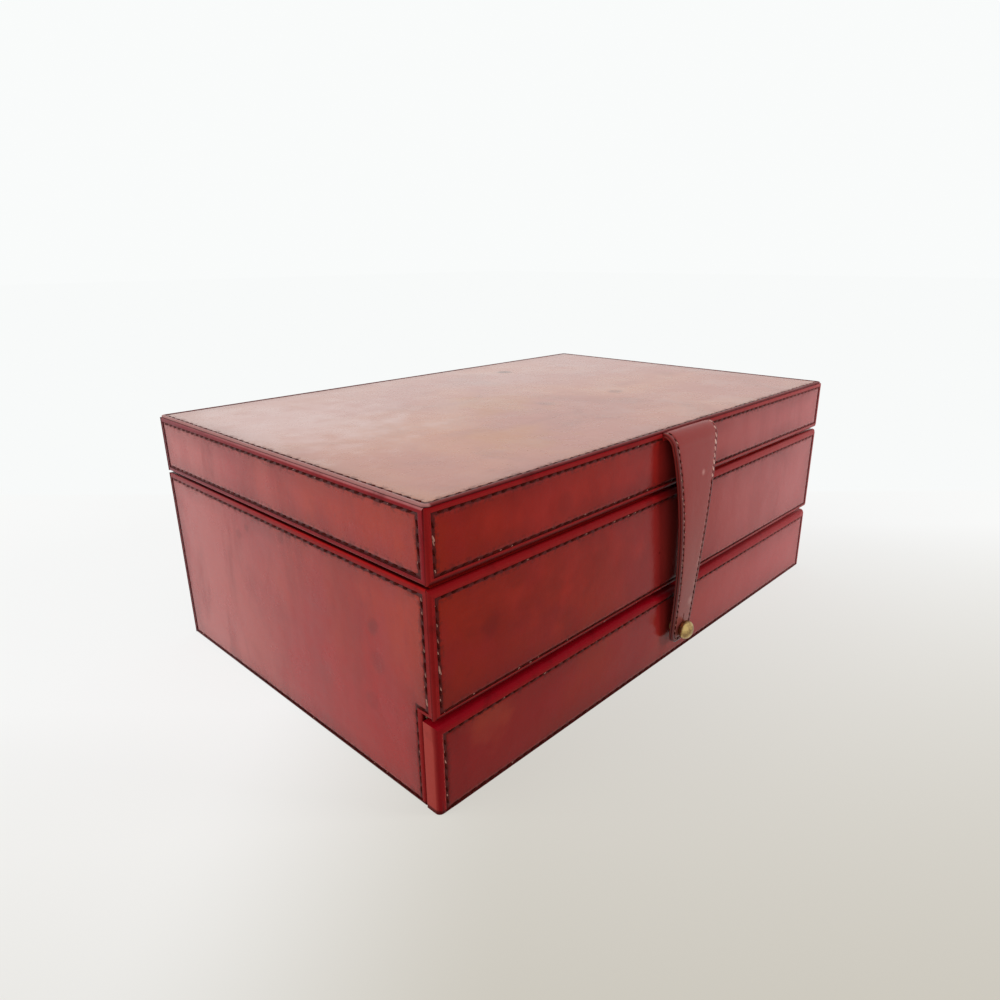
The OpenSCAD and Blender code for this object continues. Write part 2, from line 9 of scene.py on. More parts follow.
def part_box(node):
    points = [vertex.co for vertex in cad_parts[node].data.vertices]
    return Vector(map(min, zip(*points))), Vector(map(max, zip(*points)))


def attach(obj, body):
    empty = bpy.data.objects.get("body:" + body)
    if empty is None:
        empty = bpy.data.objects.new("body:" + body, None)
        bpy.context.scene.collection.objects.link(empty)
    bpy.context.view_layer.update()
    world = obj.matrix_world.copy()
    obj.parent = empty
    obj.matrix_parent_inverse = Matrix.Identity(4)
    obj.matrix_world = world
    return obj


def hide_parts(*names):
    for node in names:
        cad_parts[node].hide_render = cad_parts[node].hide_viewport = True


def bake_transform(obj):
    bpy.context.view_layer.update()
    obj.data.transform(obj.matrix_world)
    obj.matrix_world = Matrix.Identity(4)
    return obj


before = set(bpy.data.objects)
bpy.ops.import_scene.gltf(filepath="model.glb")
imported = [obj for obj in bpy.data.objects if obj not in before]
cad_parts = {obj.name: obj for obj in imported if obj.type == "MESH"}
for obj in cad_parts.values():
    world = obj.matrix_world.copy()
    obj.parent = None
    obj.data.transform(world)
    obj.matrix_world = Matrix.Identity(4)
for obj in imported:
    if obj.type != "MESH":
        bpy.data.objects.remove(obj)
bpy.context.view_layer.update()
rng = random.Random(7)
scene = bpy.context.scene

# Sizes in millimetres, as in the CAD part
OX, OY = 146, 95.5  # half the width and the depth of the box
SKIRT, RAIL_Z, CASE_Z = 0.3, 38, 85.3  # the case's leather: its foot, its edge over the drawer, its top
LID_Z, LIP_Z = 86.5, 112  # the leather on the lid's sides, from its lower to its upper edge
SKIN_Z, TOP_Z = 111, 113  # the leather on the top of the lid, from below to above
NOTCH_Y = -88  # the drawer's face reaches back to here, and cuts out the corner of the side leather


# Materials

def dim(colour, share):
    return tuple(share * v for v in colour)


class Graph:
    """A material or a world, and short names for its shader nodes."""

    def __init__(self, name, kind="materials", shader="Principled BSDF"):
        self.owner = getattr(bpy.data, kind).new(name)
        self.owner.use_nodes = True
        self.tree = self.owner.node_tree
        self.shader = self.tree.nodes[shader]
        self.where = self.node("TexCoord")["Object"]

    def put(self, socket, value):
        """Links an output to the socket, or sets a number or a colour there."""
        if hasattr(value, "is_output"):
            self.tree.links.new(value, socket)
        elif isinstance(value, tuple) and len(socket.default_value) == len(value) + 1:
            socket.default_value = (*value, 1)
        else:
            socket.default_value = value

    def node(self, kind, inputs=(), **props):
        """The outputs of a new node. inputs: (name or number of a socket, value) pairs."""
        n = self.tree.nodes.new("ShaderNode" + kind)
        for key, value in props.items():
            setattr(n, key, value)
        for key, value in inputs:
            self.put(n.inputs[key], value)
        return n.outputs

    def dress(self, colour, *inputs):
        """Sets the inputs of the shader, and gives the material or the world."""
        for key, value in ((0, colour), *inputs):
            self.put(self.shader.inputs[key], value)
        return self.owner

    def show(self, other, amount, output):
        """Shows another shader instead, as far as amount, to the camera and in reflections only."""
        ray = self.node("LightPath")
        seen = self.math("MAXIMUM", ray["Is Camera Ray"], ray["Is Glossy Ray"])
        inputs = (0, self.times(amount, seen)), (1, self.shader.outputs[0]), (2, other)
        self.put(self.tree.nodes[output].inputs["Surface"], self.node("MixShader", inputs)[0])

    def math(self, op, a, b=0, clamp=False):
        return self.node("Math", ((0, a), (1, b)), operation=op, use_clamp=clamp)[0]

    def times(self, a, b):
        return self.math("MULTIPLY", a, b)

    def stretch(self, scale, turn=(0, 0, 0), shift=(0, 0, 0)):
        inputs = ("Vector", self.where), ("Scale", scale), ("Rotation", turn), ("Location", shift)
        return self.node("Mapping", inputs)[0]

    def noise(self, scale, detail=3, rough=0.5, at=None, distort=0):
        inputs = (("Vector", at or self.where), ("Scale", scale), ("Detail", detail), ("Roughness", rough),
                  ("Distortion", distort))
        return self.node("TexNoise", inputs)["Fac"]

    def steps(self, fac, lo, hi, out_lo=0, out_hi=1):
        """Rises smoothly from out_lo to out_hi while fac goes from lo to hi."""
        inputs = ("Value", fac), ("From Min", lo), ("From Max", hi), ("To Min", out_lo), ("To Max", out_hi)
        return self.node("MapRange", inputs, interpolation_type="SMOOTHSTEP")[0]

    def mix(self, fac, a, b):
        return self.node("Mix", ((0, fac), (6, a), (7, b)), data_type="RGBA")[2]

    def over(self, c, colour, pattern, lo, hi, amount=1):
        """c with the colour laid over it, as far as amount, where the pattern rises from lo to hi."""
        return self.mix(self.steps(pattern, lo, hi, 0, amount), c, colour)

    def tone(self, name="tone"):
        return self.node("Attribute", attribute_name=name)["Fac"]

    def part(self, vector, axis):
        return self.node("SeparateXYZ", ((0, vector),))[axis]

    def blob(self, centre, radius, soft=0.6):
        """1 inside a soft round spot on the surface, 0 outside. centre, radius: in mm."""
        away = self.node("VectorMath", ((0, self.where), (1, tuple(c / 1000 for c in centre))),
                         operation="DISTANCE")["Value"]
        uneven = self.times(self.math("SUBTRACT", self.noise(90, 2), 0.5), radius * 1.4 / 1000)
        away = self.math("ADD", away, uneven)
        return self.steps(away, radius * (1 - soft) / 1000, radius / 1000, 1, 0)

    def ragged(self):
        """The tone of beads and grooves, uneven beside the rows, where the thread gathers the leather."""
        near = self.steps(self.tone("burn"), 0.85, 1)
        pits = self.steps(self.noise(430, 2, 0.6), 0.42, 0.62, 0, 0.45)
        return self.math("SUBTRACT", self.tone(), self.times(near, pits))

    def along(self, axis, lo, hi, amount):
        """0 below lo mm on an axis, rising to amount at hi mm."""
        return self.steps(self.part(self.where, axis), lo / 1000, hi / 1000, 0, amount)

    def painted_light_by_normal(self, standing, up, down):
        """A colour by which way the surface faces: painted light, lighter where it faces up and darker where
        it faces down.
        """
        z = self.part(self.node("TexCoord")["Normal"], 2)
        return self.over(self.over(standing, up, z, 0.12, 0.6), down, self.times(z, -1), 0.1, 0.5)

    def bump(self, *layers):
        """The normal after (height, distance) layers, the coarsest first."""
        under = ()
        for height, distance in layers:
            inputs = ("Strength", 1), ("Distance", distance), ("Height", height), *under
            normal = self.node("Bump", inputs)[0]
            under = (("Normal", normal),)
        return normal


def leather(name, deep, warm, rosy, bead, groove, rough=0.2, ior=1.27, marks=(), tints_and_highlights=(), streak=None,
            wave=0.0011, sheen_drift=None, cloud=0.32, brush=0):
    """Smooth dyed calf: mottled dye, burnished edges, dark creases, a fine grain and slight waves.
    bead: its colours beside a groove, of which the one where it faces up is a painted highlight and the one
    where it faces down painted shade. drift: (axis, from, to, colour, amount) of a slow change along the box,
    a painted sheen.
    fade: soft spots of colour, some of them painted highlights and painted sheen. marks: dark soft spots.
    streak: the direction of faint lines. wave: the height of the waves."""
    g = Graph(name)
    mid = g.noise(48, 4, 0.6)
    c = g.over(deep, warm, g.noise(11, 4, 0.55, distort=0.4), 0.36, 0.66)
    c = g.over(c, rosy, mid, 0.45, 0.72, 0.55)
    c = g.over(c, dim(deep, 0.55), g.noise(210, 3, 0.6), 0.56, 0.8, 0.22)
    dusk = g.noise(19, 5, 0.62, at=g.stretch((1, 1, 1), shift=(0.31, 0.12, 0.44)), distort=0.8)
    c = g.over(c, dim(deep, 0.5), dusk, 0.5, 0.72, cloud)
    if streak:
        lines = g.noise(16, 4, 0.6, at=g.stretch((1, 7, 1), turn=(0, 0, streak)))
        c = g.over(c, rosy, lines, 0.5, 0.75, 0.18)
    # Painted sheen: the colour and the groove colour shift toward another colour along one axis of the box.
    if sheen_drift:
        axis, lo, hi, colour, amount = sheen_drift
        c = g.mix(g.along(axis, lo, hi, amount), c, colour)
        groove = g.mix(g.along(axis, (lo + hi) / 2, hi, 0.6), groove, dim(colour, 0.6))
    if brush:
        strokes = g.noise(34, 5, 0.62, at=g.stretch((1, 1, 0.28)), distort=0.5)
        c = g.over(c, dim(deep, 0.7), strokes, 0.46, 0.64, brush)
        strokes = g.noise(27, 4, 0.6, at=g.stretch((1, 1, 0.35), shift=(0.7, 0.3, 0.2)))
        c = g.over(c, rosy, strokes, 0.48, 0.66, brush)
    # Soft spots of colour: some are painted highlights and painted sheen, the rest tints.
    for colour, centre, radius, amount in tints_and_highlights:
        c = g.mix(g.times(g.blob(centre, radius, 0.9), amount), c, colour)
    for centre, radius, amount in marks:
        c = g.mix(g.times(g.blob(centre, radius), amount), c, dim(deep, 0.35))
    burn = g.times(g.tone("burn"), g.steps(g.noise(34, 3), 0.3, 0.65, 0.35, 1))
    c = g.mix(g.times(burn, 0.3), c, dim(deep, 0.42))
    tone = g.ragged()
    crease = g.times(tone, -1)
    wear = g.times(g.steps(tone, 0.05, 0.9), g.steps(g.noise(70, 3), 0.25, 0.7, 0.7, 1))
    # The beads take their colour by which way they face: painted highlight above, painted shade below.
    c = g.over(g.mix(wear, c, g.painted_light_by_normal(*bead)), groove, crease, 0.05, 1)
    rough = g.steps(mid, 0.3, 0.75, rough - 0.04, rough + 0.06)
    rough = g.math("ADD", rough, g.steps(crease, 0, 1, 0, 0.25))
    grain = g.node("TexVoronoi", (("Vector", g.where), ("Scale", 1150), ("Randomness", 1)),
                   feature="DISTANCE_TO_EDGE")["Distance"]
    normal = g.bump((g.noise(13, 2, 0.4), wave), (g.noise(75, 3), 0.00022), (grain, 0.00002),
                    (g.noise(620, 3, 0.6), 0.00005))
    return g.dress(c, ("Roughness", rough), ("IOR", ior), ("Normal", normal))


def rolled_leather(name, standing, up, down, painted_side_reflection=None, painted_sheen=None):
    """The edge outside a stitch row: rubbed, less glossy than the field, with painted shade where it turns in
    and near the floor, and painted light by which way it faces.
    turned: its colour where it rounds the corner; the drawer's is paler, a painted reflection. faded: (axis,
    from, to, colour) of a slow change along the box, a painted sheen; on the top's left roll it is a painted
    highlight."""
    g = Graph(name)
    groove = (0.055, 0.002, 0.002)
    tone = g.ragged()
    rim = g.painted_light_by_normal(g.over(painted_side_reflection or standing, standing, tone, 0.35, 0.85), up, down)
    rim = g.over(rim, dim(standing, 0.3), g.noise(95, 4, 0.6), 0.5, 0.75, 0.45)
    # Painted sheen: the rim and groove shift toward another colour along one axis of the box.
    if painted_sheen:
        axis, lo, hi, colour = painted_sheen
        rim = g.mix(g.along(axis, lo, hi, 0.8), rim, colour)
        groove = g.mix(g.along(axis, (lo + hi) / 2, hi, 0.6), groove, dim(colour, 0.5))
    # Painted shade: darker where the edge turns in behind the corner.
    c = g.over(dim(standing, 0.35), rim, tone, 0, 0.1 if painted_side_reflection else 0.75)
    # Painted shade: within about 2 mm of the floor the edge turns toward the dark groove colour.
    c = g.mix(g.math("SUBTRACT", 0.85, g.along(2, 1.2, 2.2, 0.85)), c, groove)
    c = g.over(c, groove, g.times(tone, -1), 0.05, 0.8)
    return g.dress(c, ("Roughness", g.steps(g.noise(60, 3), 0.3, 0.7, 0.26, 0.42)), ("IOR", 1.14),
                   ("Normal", g.bump((g.noise(150, 3), 0.00012), (g.noise(620, 3, 0.6), 0.00005))))


# Colours of a bead: standing, where it faces up (a painted highlight) and where it faces down (painted shade)
DARK = ((0.13, 0.006, 0.009), (0.34, 0.003, 0.005), (0.045, 0.003, 0.004))
SIDE = ((0.27, 0.014, 0.016), (0.42, 0.006, 0.006), (0.09, 0.004, 0.005))
GROOVE = (0.066, 0.003, 0.002)
# One dyed leather in copies for each face: the side's copy is brighter than the front's and the drawer's,
# painted light for how light falls on each face. The drift of the front and the drawer, paler toward the
# right, and of the side, paler toward the back, is a painted sheen.
red_front = leather(
    "leather_front", (0.175, 0.002, 0.001), (0.23, 0.009, 0.001), (0.215, 0.006, 0.007), DARK, GROOVE,
    rough=0.15, ior=1.235, brush=0.16, sheen_drift=(0, -75, 160, (0.4, 0.092, 0.092), 0.95),
    tints_and_highlights=(((0.32, 0.014, 0.007), (-75, -95.5, 118), 80, 0.5),),
    marks=(((-120, -95.5, 64), 7, 0.25), ((-82, -95.5, 98), 6, 0.2), ((-15.5, -95.5, 57.5), 0.8, 0.6)))
red_side = leather(
    "leather_side", (0.3, 0.013, 0.011), (0.365, 0.029, 0.01), (0.335, 0.028, 0.03), SIDE, GROOVE,
    rough=0.24, ior=1.34, brush=0.42, cloud=0.4, sheen_drift=(1, -60, 95, (0.47, 0.125, 0.12), 0.72),
    tints_and_highlights=(((0.37, 0.003, 0.002), (-146, -45, 8), 62, 0.5),),
    marks=(((-146, -64, 62), 4, 0.35), ((-146, -66, 48), 5, 0.22), ((-146, -60, 30), 5, 0.2),
           ((-146, -6, 79), 4, 0.3), ((-146, 22, 76), 2.5, 0.3), ((-146, 30, 71), 3, 0.25)))
# The top's copy is paler and pinker than the sides, a painted sheen; its drift toward the back and its large
# pale spot at the back left are painted sheen too.
red_top = leather(
    "leather_top", (0.43, 0.155, 0.11), (0.51, 0.21, 0.12), (0.5, 0.235, 0.195),
    ((0.17, 0.02, 0.02), (0.26, 0.045, 0.035), (0.05, 0.004, 0.005)), (0.06, 0.012, 0.01),
    rough=0.27, ior=1.55, streak=0.72, wave=0.0008, sheen_drift=(1, -50, 95, (0.6, 0.385, 0.35), 0.5),
    tints_and_highlights=(((0.47, 0.2, 0.09), (-25, -2, 113), 36, 0.6), ((0.48, 0.2, 0.08), (-70, -55, 113), 30, 0.6),
          ((0.62, 0.4, 0.36), (-125, 40, 113), 85, 0.75)),
    marks=(((51.5, 64.5, 113), 5.5, 0.75), ((-8, -20, 113), 6, 0.3), ((43, -26, 113), 5, 0.42)))
red_drawer = leather(
    "leather_drawer", (0.195, 0.003, 0.003), (0.235, 0.01, 0.002), (0.23, 0.007, 0.01),
    ((0.26, 0.003, 0.005), (0.33, 0.002, 0.004), (0.05, 0.003, 0.004)), GROOVE,
    rough=0.13, ior=1.25, sheen_drift=(0, -75, 160, (0.4, 0.062, 0.063), 0.95),
    tints_and_highlights=(((0.3, 0.035, 0.013), (-122, -95.5, 30), 17, 0.5),))
# The strap's copy is pinkish grey low down and turns red upward by its drift: the pinkish grey is a painted
# sheen. Its soft spots are painted highlights: a pale stripe down the right of its lower part and one near
# its top.
strap_red = leather(
    "leather_strap", (0.205, 0.04, 0.037), (0.225, 0.048, 0.039), (0.205, 0.055, 0.051),
    ((0.085, 0.016, 0.017), (0.17, 0.034, 0.032), (0.045, 0.005, 0.006)), (0.035, 0.002, 0.002),
    rough=0.22, ior=1.3, wave=0.0006, sheen_drift=(2, 28, 88, (0.235, 0.02, 0.016), 0.92),
    tints_and_highlights=(*(((0.4, 0.21, 0.185), (x, -102, z), 4, 0.45)
            for x, z in ((10, 67), (9.2, 57), (8.5, 48), (6.5, 38), (4.5, 29))),
          ((0.52, 0.24, 0.21), (4, -102, 92), 2.2, 0.8)))
edge_red = leather("leather_edge", (0.3, 0.006, 0.005), (0.35, 0.01, 0.006), (0.3, 0.012, 0.012),
                   ((0.4, 0.02, 0.018),) * 3, GROOVE, rough=0.3)
# Each edge's slow change of colour along the box is a painted sheen toward the right or the back; on edge_top
# it is a painted highlight on the left roll, and edge_drawer's paler colour round its corner is a painted
# reflection.
edge_front = rolled_leather("edge_front", (0.215, 0.007, 0.007), (0.21, 0.003, 0.005), (0.085, 0.004, 0.004),
    painted_sheen=(0, -30, 150, (0.34, 0.06, 0.06)))
edge_side = rolled_leather("edge_side", (0.24, 0.01, 0.01), (0.34, 0.006, 0.006), (0.12, 0.006, 0.006),
    painted_sheen=(1, -40, 95, (0.27, 0.07, 0.075)))
edge_lid_side = rolled_leather("edge_lid_side", (0.22, 0.008, 0.012), (0.4, 0.13, 0.13), (0.2, 0.04, 0.036),
    painted_sheen=(1, -40, 95, (0.22, 0.05, 0.06)))
edge_top = rolled_leather("edge_top", (0.11, 0.008, 0.01), (0.17, 0.03, 0.028), (0.05, 0.004, 0.005),
    painted_sheen=(0, -143.1, -144.2, (0.42, 0.19, 0.175)))
edge_drawer = rolled_leather("edge_drawer", (0.2, 0.005, 0.007), (0.22, 0.001, 0.006), (0.05, 0.002, 0.003),
    painted_side_reflection=(0.36, 0.045, 0.035), painted_sheen=(0, -30, 150, (0.33, 0.045, 0.048)))


def thread_material(name, dark, mid, light):
    g = Graph(name)
    twist = g.node("TexWave", (("Vector", g.where), ("Scale", 900), ("Distortion", 1.5)),
                   wave_type="BANDS", bands_direction="DIAGONAL")["Fac"]
    c = g.mix(g.times(twist, 0.35), g.over(dark, mid, g.noise(300, 2), 0.35, 0.7), light)
    # Painted sheen: the thread turns paler toward the right and toward the back.
    c = g.mix(g.along(0, 10, 150, 0.6), c, (0.22, 0.06, 0.06))
    c = g.mix(g.along(1, -30, 95, 0.5), c, (0.15, 0.05, 0.05))
    return g.dress(c, ("Roughness", 0.65), ("Specular IOR Level", 0.04), ("Normal", g.bump((twist, 0.00008))))


# Pale flecks on small raised puckers beside the stitches, coloured as painted highlights.
def highlight_fleck_material():
    g = Graph("painted_highlight_flecks")
    c = g.over((0.22, 0.07, 0.05), (0.4, 0.19, 0.14), g.noise(400, 2), 0.35, 0.7)
    return g.dress(c, ("Roughness", 0.4), ("Normal", g.bump((g.noise(900, 2), 0.00004))))


def suede_material(name, base, light):
    g = Graph(name)
    nap = g.noise(46, 5, 0.7, distort=0.25)
    fibre = g.noise(1500, 3, 0.7, at=g.stretch((1, 1, 2.5)))
    c = g.over(g.over(base, light, nap, 0.35, 0.68), dim(base, 0.6), fibre, 0.45, 0.8, 0.35)
    return g.dress(c, ("Roughness", 0.92), ("Sheen Weight", 0.45), ("Sheen Roughness", 0.5),
                   ("Normal", g.bump((nap, 0.0002), (fibre, 0.00012))))


def brass_material(name, bright, dull):
    g = Graph(name)
    stain = g.noise(420, 4, 0.6)
    c = g.over(bright, dull, stain, 0.4, 0.62)
    c = g.over(c, (0.09, 0.05, 0.025), g.noise(1600, 3, 0.7), 0.6, 0.75, 0.6)
    return g.dress(c, ("Metallic", 1), ("Normal", g.bump((g.noise(900, 3), 0.00003))),
                   ("Roughness", g.steps(stain, 0.3, 0.7, 0.22, 0.46)))


def board_material():
    g = Graph("grey_board")
    grain = g.noise(60, 4, 0.6, at=g.stretch((1, 9, 9)))
    c = g.over((0.3, 0.2, 0.11), (0.42, 0.3, 0.18), grain, 0.35, 0.7)
    return g.dress(c, ("Roughness", 0.7), ("Normal", g.bump((grain, 0.0001))))


# The pale thread's colours, used at the upper right of the strap, are a painted highlight.
thread, pale_highlight_thread, brown_thread = (thread_material(*colours) for colours in (
    ("waxed_thread", (0.022, 0.002, 0.001), (0.058, 0.004, 0.002), (0.1, 0.011, 0.007)),
    ("pale_highlight_thread", (0.46, 0.19, 0.165), (0.66, 0.38, 0.33), (0.74, 0.5, 0.44)),
    ("brown_thread", (0.03, 0.004, 0.004), (0.085, 0.018, 0.016), (0.21, 0.075, 0.066))))
highlight_fleck = highlight_fleck_material()
suede = suede_material("suede_tan", (0.315, 0.2, 0.14), (0.385, 0.258, 0.182))
felt = suede_material("felt_wine", (0.07, 0.012, 0.012), (0.1, 0.02, 0.018))
brass = brass_material("aged_brass", (0.55, 0.38, 0.15), (0.32, 0.2, 0.09))
board = board_material()


# Mesh helpers

def build(name, verts, faces, material, body=None, slot=None, replaces=(), tones=(), burns=(), sharp=38):
    """A smooth mesh from points in mm. tones, burns: a value for each point, which the colours follow."""
    mesh = bpy.data.meshes.new(name)
    mesh.from_pydata([tuple(float(c) / 1000 for c in v) for v in verts], [], faces)
    mesh.validate()
    for key, values in (("tone", tones), ("burn", burns)):
        if values:
            data = mesh.attributes.new(key, "FLOAT", "POINT").data
            data.foreach_set("value", np.asarray(values, np.float32))
    smooth(mesh, sharp)
    mesh.materials.append(material)
    o = bpy.data.objects.new(name, mesh)
    scene.collection.objects.link(o)
    if body:
        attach(o, body)
    if replaces:
        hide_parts(*replaces)
    return o


def smooth(mesh, sharp):
    mesh.polygons.foreach_set("use_smooth", [True] * len(mesh.polygons))
    mesh.set_sharp_from_angle(angle=radians(sharp))


# Point of a side of the box: u to the right and v up as seen from outside, w inwards
SIDES = {
    "front": lambda u, v, w: (u, -OY + w, v),
    "back": lambda u, v, w: (-u, OY - w, v),
    "left": lambda u, v, w: (-OX + w, -u, v),
    "right": lambda u, v, w: (OX - w, u, v),
    "top": lambda u, v, w: (u, v, TOP_Z - w),
}


def stack(loops):
    """Quads between closed loops of equal length; the first is closed as the back, the last as the face."""
    n = len(loops[0])
    faces = [tuple(reversed(range(n)))]
    for a in range(0, (len(loops) - 1) * n, n):
        faces += [(a + i, a + (i + 1) % n, a + n + (i + 1) % n, a + n + i) for i in range(n)]
    faces.append(tuple(range((len(loops) - 1) * n, len(loops) * n)))
    return [p for loop in loops for p in loop], faces


def spread(values, loops):
    """The value of each loop, once for every point of it."""
    return [value for value, loop in zip(values, loops) for _ in loop]


def wobble(seed, size):
    """A smooth random function of the distance along an edge, in mm."""
    r = random.Random(seed)
    terms = [(r.uniform(0.03, 0.35), r.uniform(0, 6.28), r.uniform(0.4, 1)) for _ in range(6)]
    norm = size / sum(t[2] for t in terms)
    return lambda s: norm * sum(a * sin(f * s + p) for f, p, a in terms)


def dense(outlines, step=7):
    """Splits the sides of every outline alike, so that edges can waver. It also gives the distance of each
    point along the first outline, and into how many parts each side is split."""
    first = outlines[0]
    n = len(first)
    counts = [max(1, round(dist(first[i][:2], first[(i + 1) % n][:2]) / step)) for i in range(n)]
    out = [[tuple(p + (q - p) * (j / counts[i]) for p, q in zip(loop[i], loop[(i + 1) % n]))
            for i in range(n) for j in range(counts[i])] for loop in outlines]
    runs, s, before = [], 0, out[0][0]
    for p in out[0]:
        s += dist(p[:2], before[:2])
        runs.append(s)
        before = p
    return out, runs, counts


# Stitches

# One thread with rounded ends: (place along it, radius), both as shares of the half length and half width
STITCH = ((-1, 0.3), (-0.86, 0.74), (-0.5, 0.98), (0, 1), (0.5, 0.98), (0.86, 0.74), (1, 0.3))
HEXAGON = [radians(60 * k) for k in range(6)]
PITCH = 4.58
THREAD_H, PUCKER_H = 0.42, 0.34
THREAD_DEPTH = 0.38  # how far the middle of a thread lies under the face of its panel
# Corner rows: more and larger pale flecks and some pale threads, painted highlights.
CORNER = dict(width=0.8, fleck_share=0.9, pale=1.5, pale_thread_share=0.05)


def stitches(name, runs, body, length=3.4, width=1, slant=14, fleck_share=0.25, pale=1, yarn=thread,
             pale_thread_share=0):
    """runs: a (position, along, out) frame for each stitch. worn: the share of them beside which the leather
    puckers up into a small bump in a pale colour, a painted highlight,
    in spots of the size pale. bleached: the share of threads in that pale colour, also a painted highlight."""
    verts, faces, kinds = [], [], []

    def dash(pos, along, across, out, half, w, h, arch, kind):
        v, f = stack([[pos + along * (x * half) + across * (r * cos(a) * w / 2)
                       + out * (r * sin(a) * h / 2 + arch * (1 - x * x)) for a in HEXAGON]
                      for x, r in STITCH])
        faces.extend(tuple(len(verts) + i for i in face) for face in f)
        verts.extend(v)
        kinds.extend([kind] * len(f))

    for pos, along, out in runs:
        pos, along, out = np.array(pos, float), np.array(along, float), np.array(out, float)
        turn = radians(slant + rng.uniform(-7, 7))
        al = along * cos(turn) + np.cross(out, along) * sin(turn)
        across = np.cross(out, al)
        half = 0.5 * length * rng.uniform(0.72, 1.12)
        dash(pos, al, across, out, half, width * rng.uniform(0.85, 1.15), THREAD_H, 0.14,
             int(rng.random() < pale_thread_share))
        if rng.random() < fleck_share:
            end = rng.choice((-1, 1))
            spot = pos + al * (end * half * rng.uniform(0.9, 1.35)) \
                + across * (rng.choice((-1, 1)) * rng.uniform(0.3, 0.5))
            half = rng.uniform(0.3, 0.65) * pale
            dash(spot + out * 0.02, al, across, out, half, PUCKER_H * pale, PUCKER_H, 0.02, 1)
    o = build(name, verts, faces, yarn, body)
    o.data.materials.append(highlight_fleck)
    o.data.polygons.foreach_set("material_index", kinds)
    return o


def run_between(side, a, b, depth=THREAD_DEPTH, skip=None, trim=1):
    """Frames of the stitches on a straight row between two points of a side."""
    place = SIDES[side]
    a, b = np.array(a, float), np.array(b, float)
    d = (b - a) / np.linalg.norm(b - a)
    reach = np.linalg.norm(b - a) - 2 * trim
    n = max(1, round(reach / PITCH))
    out = []
    for i in range(n):
        q = a + d * (trim + reach * (i + 0.5) / n)
        if skip and skip(q):
            continue
        q = q + np.array([-d[1], d[0]]) * rng.uniform(-0.06, 0.06)
        p = np.array(place(*q, depth))
        out.append((p, np.array(place(*(q + d), depth)) - p, p - np.array(place(*q, depth + 1))))
    return out


# Outer leather

# From the bead beside a row into the field: (share of the way to the row, offset, depth, tone)
FIELD = 0.14
FACE = [(0.3, 0, 0, 0.9), (0.62, 0, 0, 1), (1, -0.95, 0.04, 0.6), (1, -0.62, 0.2, -0.45),
        (1, 0, 0.42, -1), (1, 0.5, 0.3, -0.8), (1, 0.95, FIELD, -0.06), (1, 1.7, FIELD, 0)]
GROOVE_LOOP = 4  # the middle of the groove
BURNS = (0.8, 0.3)  # how dark the leather still is on the first loops of the field
# The ends of a panel as (inset, depth): wrapped over a corner, or set in behind the wrapped one
WRAPPED = [(2.1, 2), (0.3, 1.15), (0, 0.8), (0.06, 0.5), (0.235, 0.235), (0.8, 0)]
SET_IN = [(2.1, 2), (1.62, 1), (1.36, 0.45), (1.38, 0.25), (1.45, 0.1), (1.75, 0)]
RIM_TONES = (-1, -0.9, 0.2, 0.6, 0.9, 1)
RIM = len(RIM_TONES)


def rolled(r):
    """A rolled edge as (inset, depth), from behind the edge round to the face."""
    turn = [(share * r, deep * r) for share, deep in ((0, 1), (0.076, 0.617), (0.293, 0.293), (1, 0))]
    return [(0, 2), (0, max(1.15, r + 0.04)), *turn]


def face_loops(starts, rows, ease, fields):
    """Loops (insets, depths, tone, burn) from the rim over the groove of the row into the field."""
    loops = []
    for k, (share, off, depth, tone) in enumerate(FACE):
        if share < 1:
            insets = [s + max(0, row - s) * share * ease for s, row in zip(starts, rows)]
        else:
            insets = [max(row + off, s + 0.02 * (k + 2)) for s, row in zip(starts, rows)]
        loops.append((insets, [depth] * len(rows), tone, 1))
    return loops + [([row + more for row in rows], [FIELD] * len(rows), 0, burn) for more, burn in fields]


def waver(side, loops, run, seeds, sizes, wavering, rising, shift, share=0.5):
    """Places loops (u, v, depth) on a side of the box, some of them with slightly uneven edges."""
    sway, rise = (wobble(seed, size) for seed, size in zip(seeds, sizes))
    for k, loop in enumerate(loops):
        for i, ((u, v, w), s) in enumerate(zip(loop, run)):
            if k in rising:
                w += rise(s)
            if k in wavering:
                u, v = u + sway(s) * 0.5, v + sway(s + shift) * share
            loop[i] = SIDES[side](u, v, max(w, 0))


def sewn(name, loops, prof, material, trim, groove, body):
    """A leather panel. prof: its loops with tone and burn at the end. trim: the leather up to the groove."""
    tones, burns = (spread([p[i] for p in prof], loops) for i in (-2, -1))
    node = {"drawer": "drawer_front"}.get(name, name) + "_leather"
    o = build(name + "_panel", *stack(loops), material, body, "red_leather", (node,), tones, burns)
    o.data.materials.append(trim)
    for f in o.data.polygons[:1 + groove * len(loops[0])]:
        f.material_index = 1


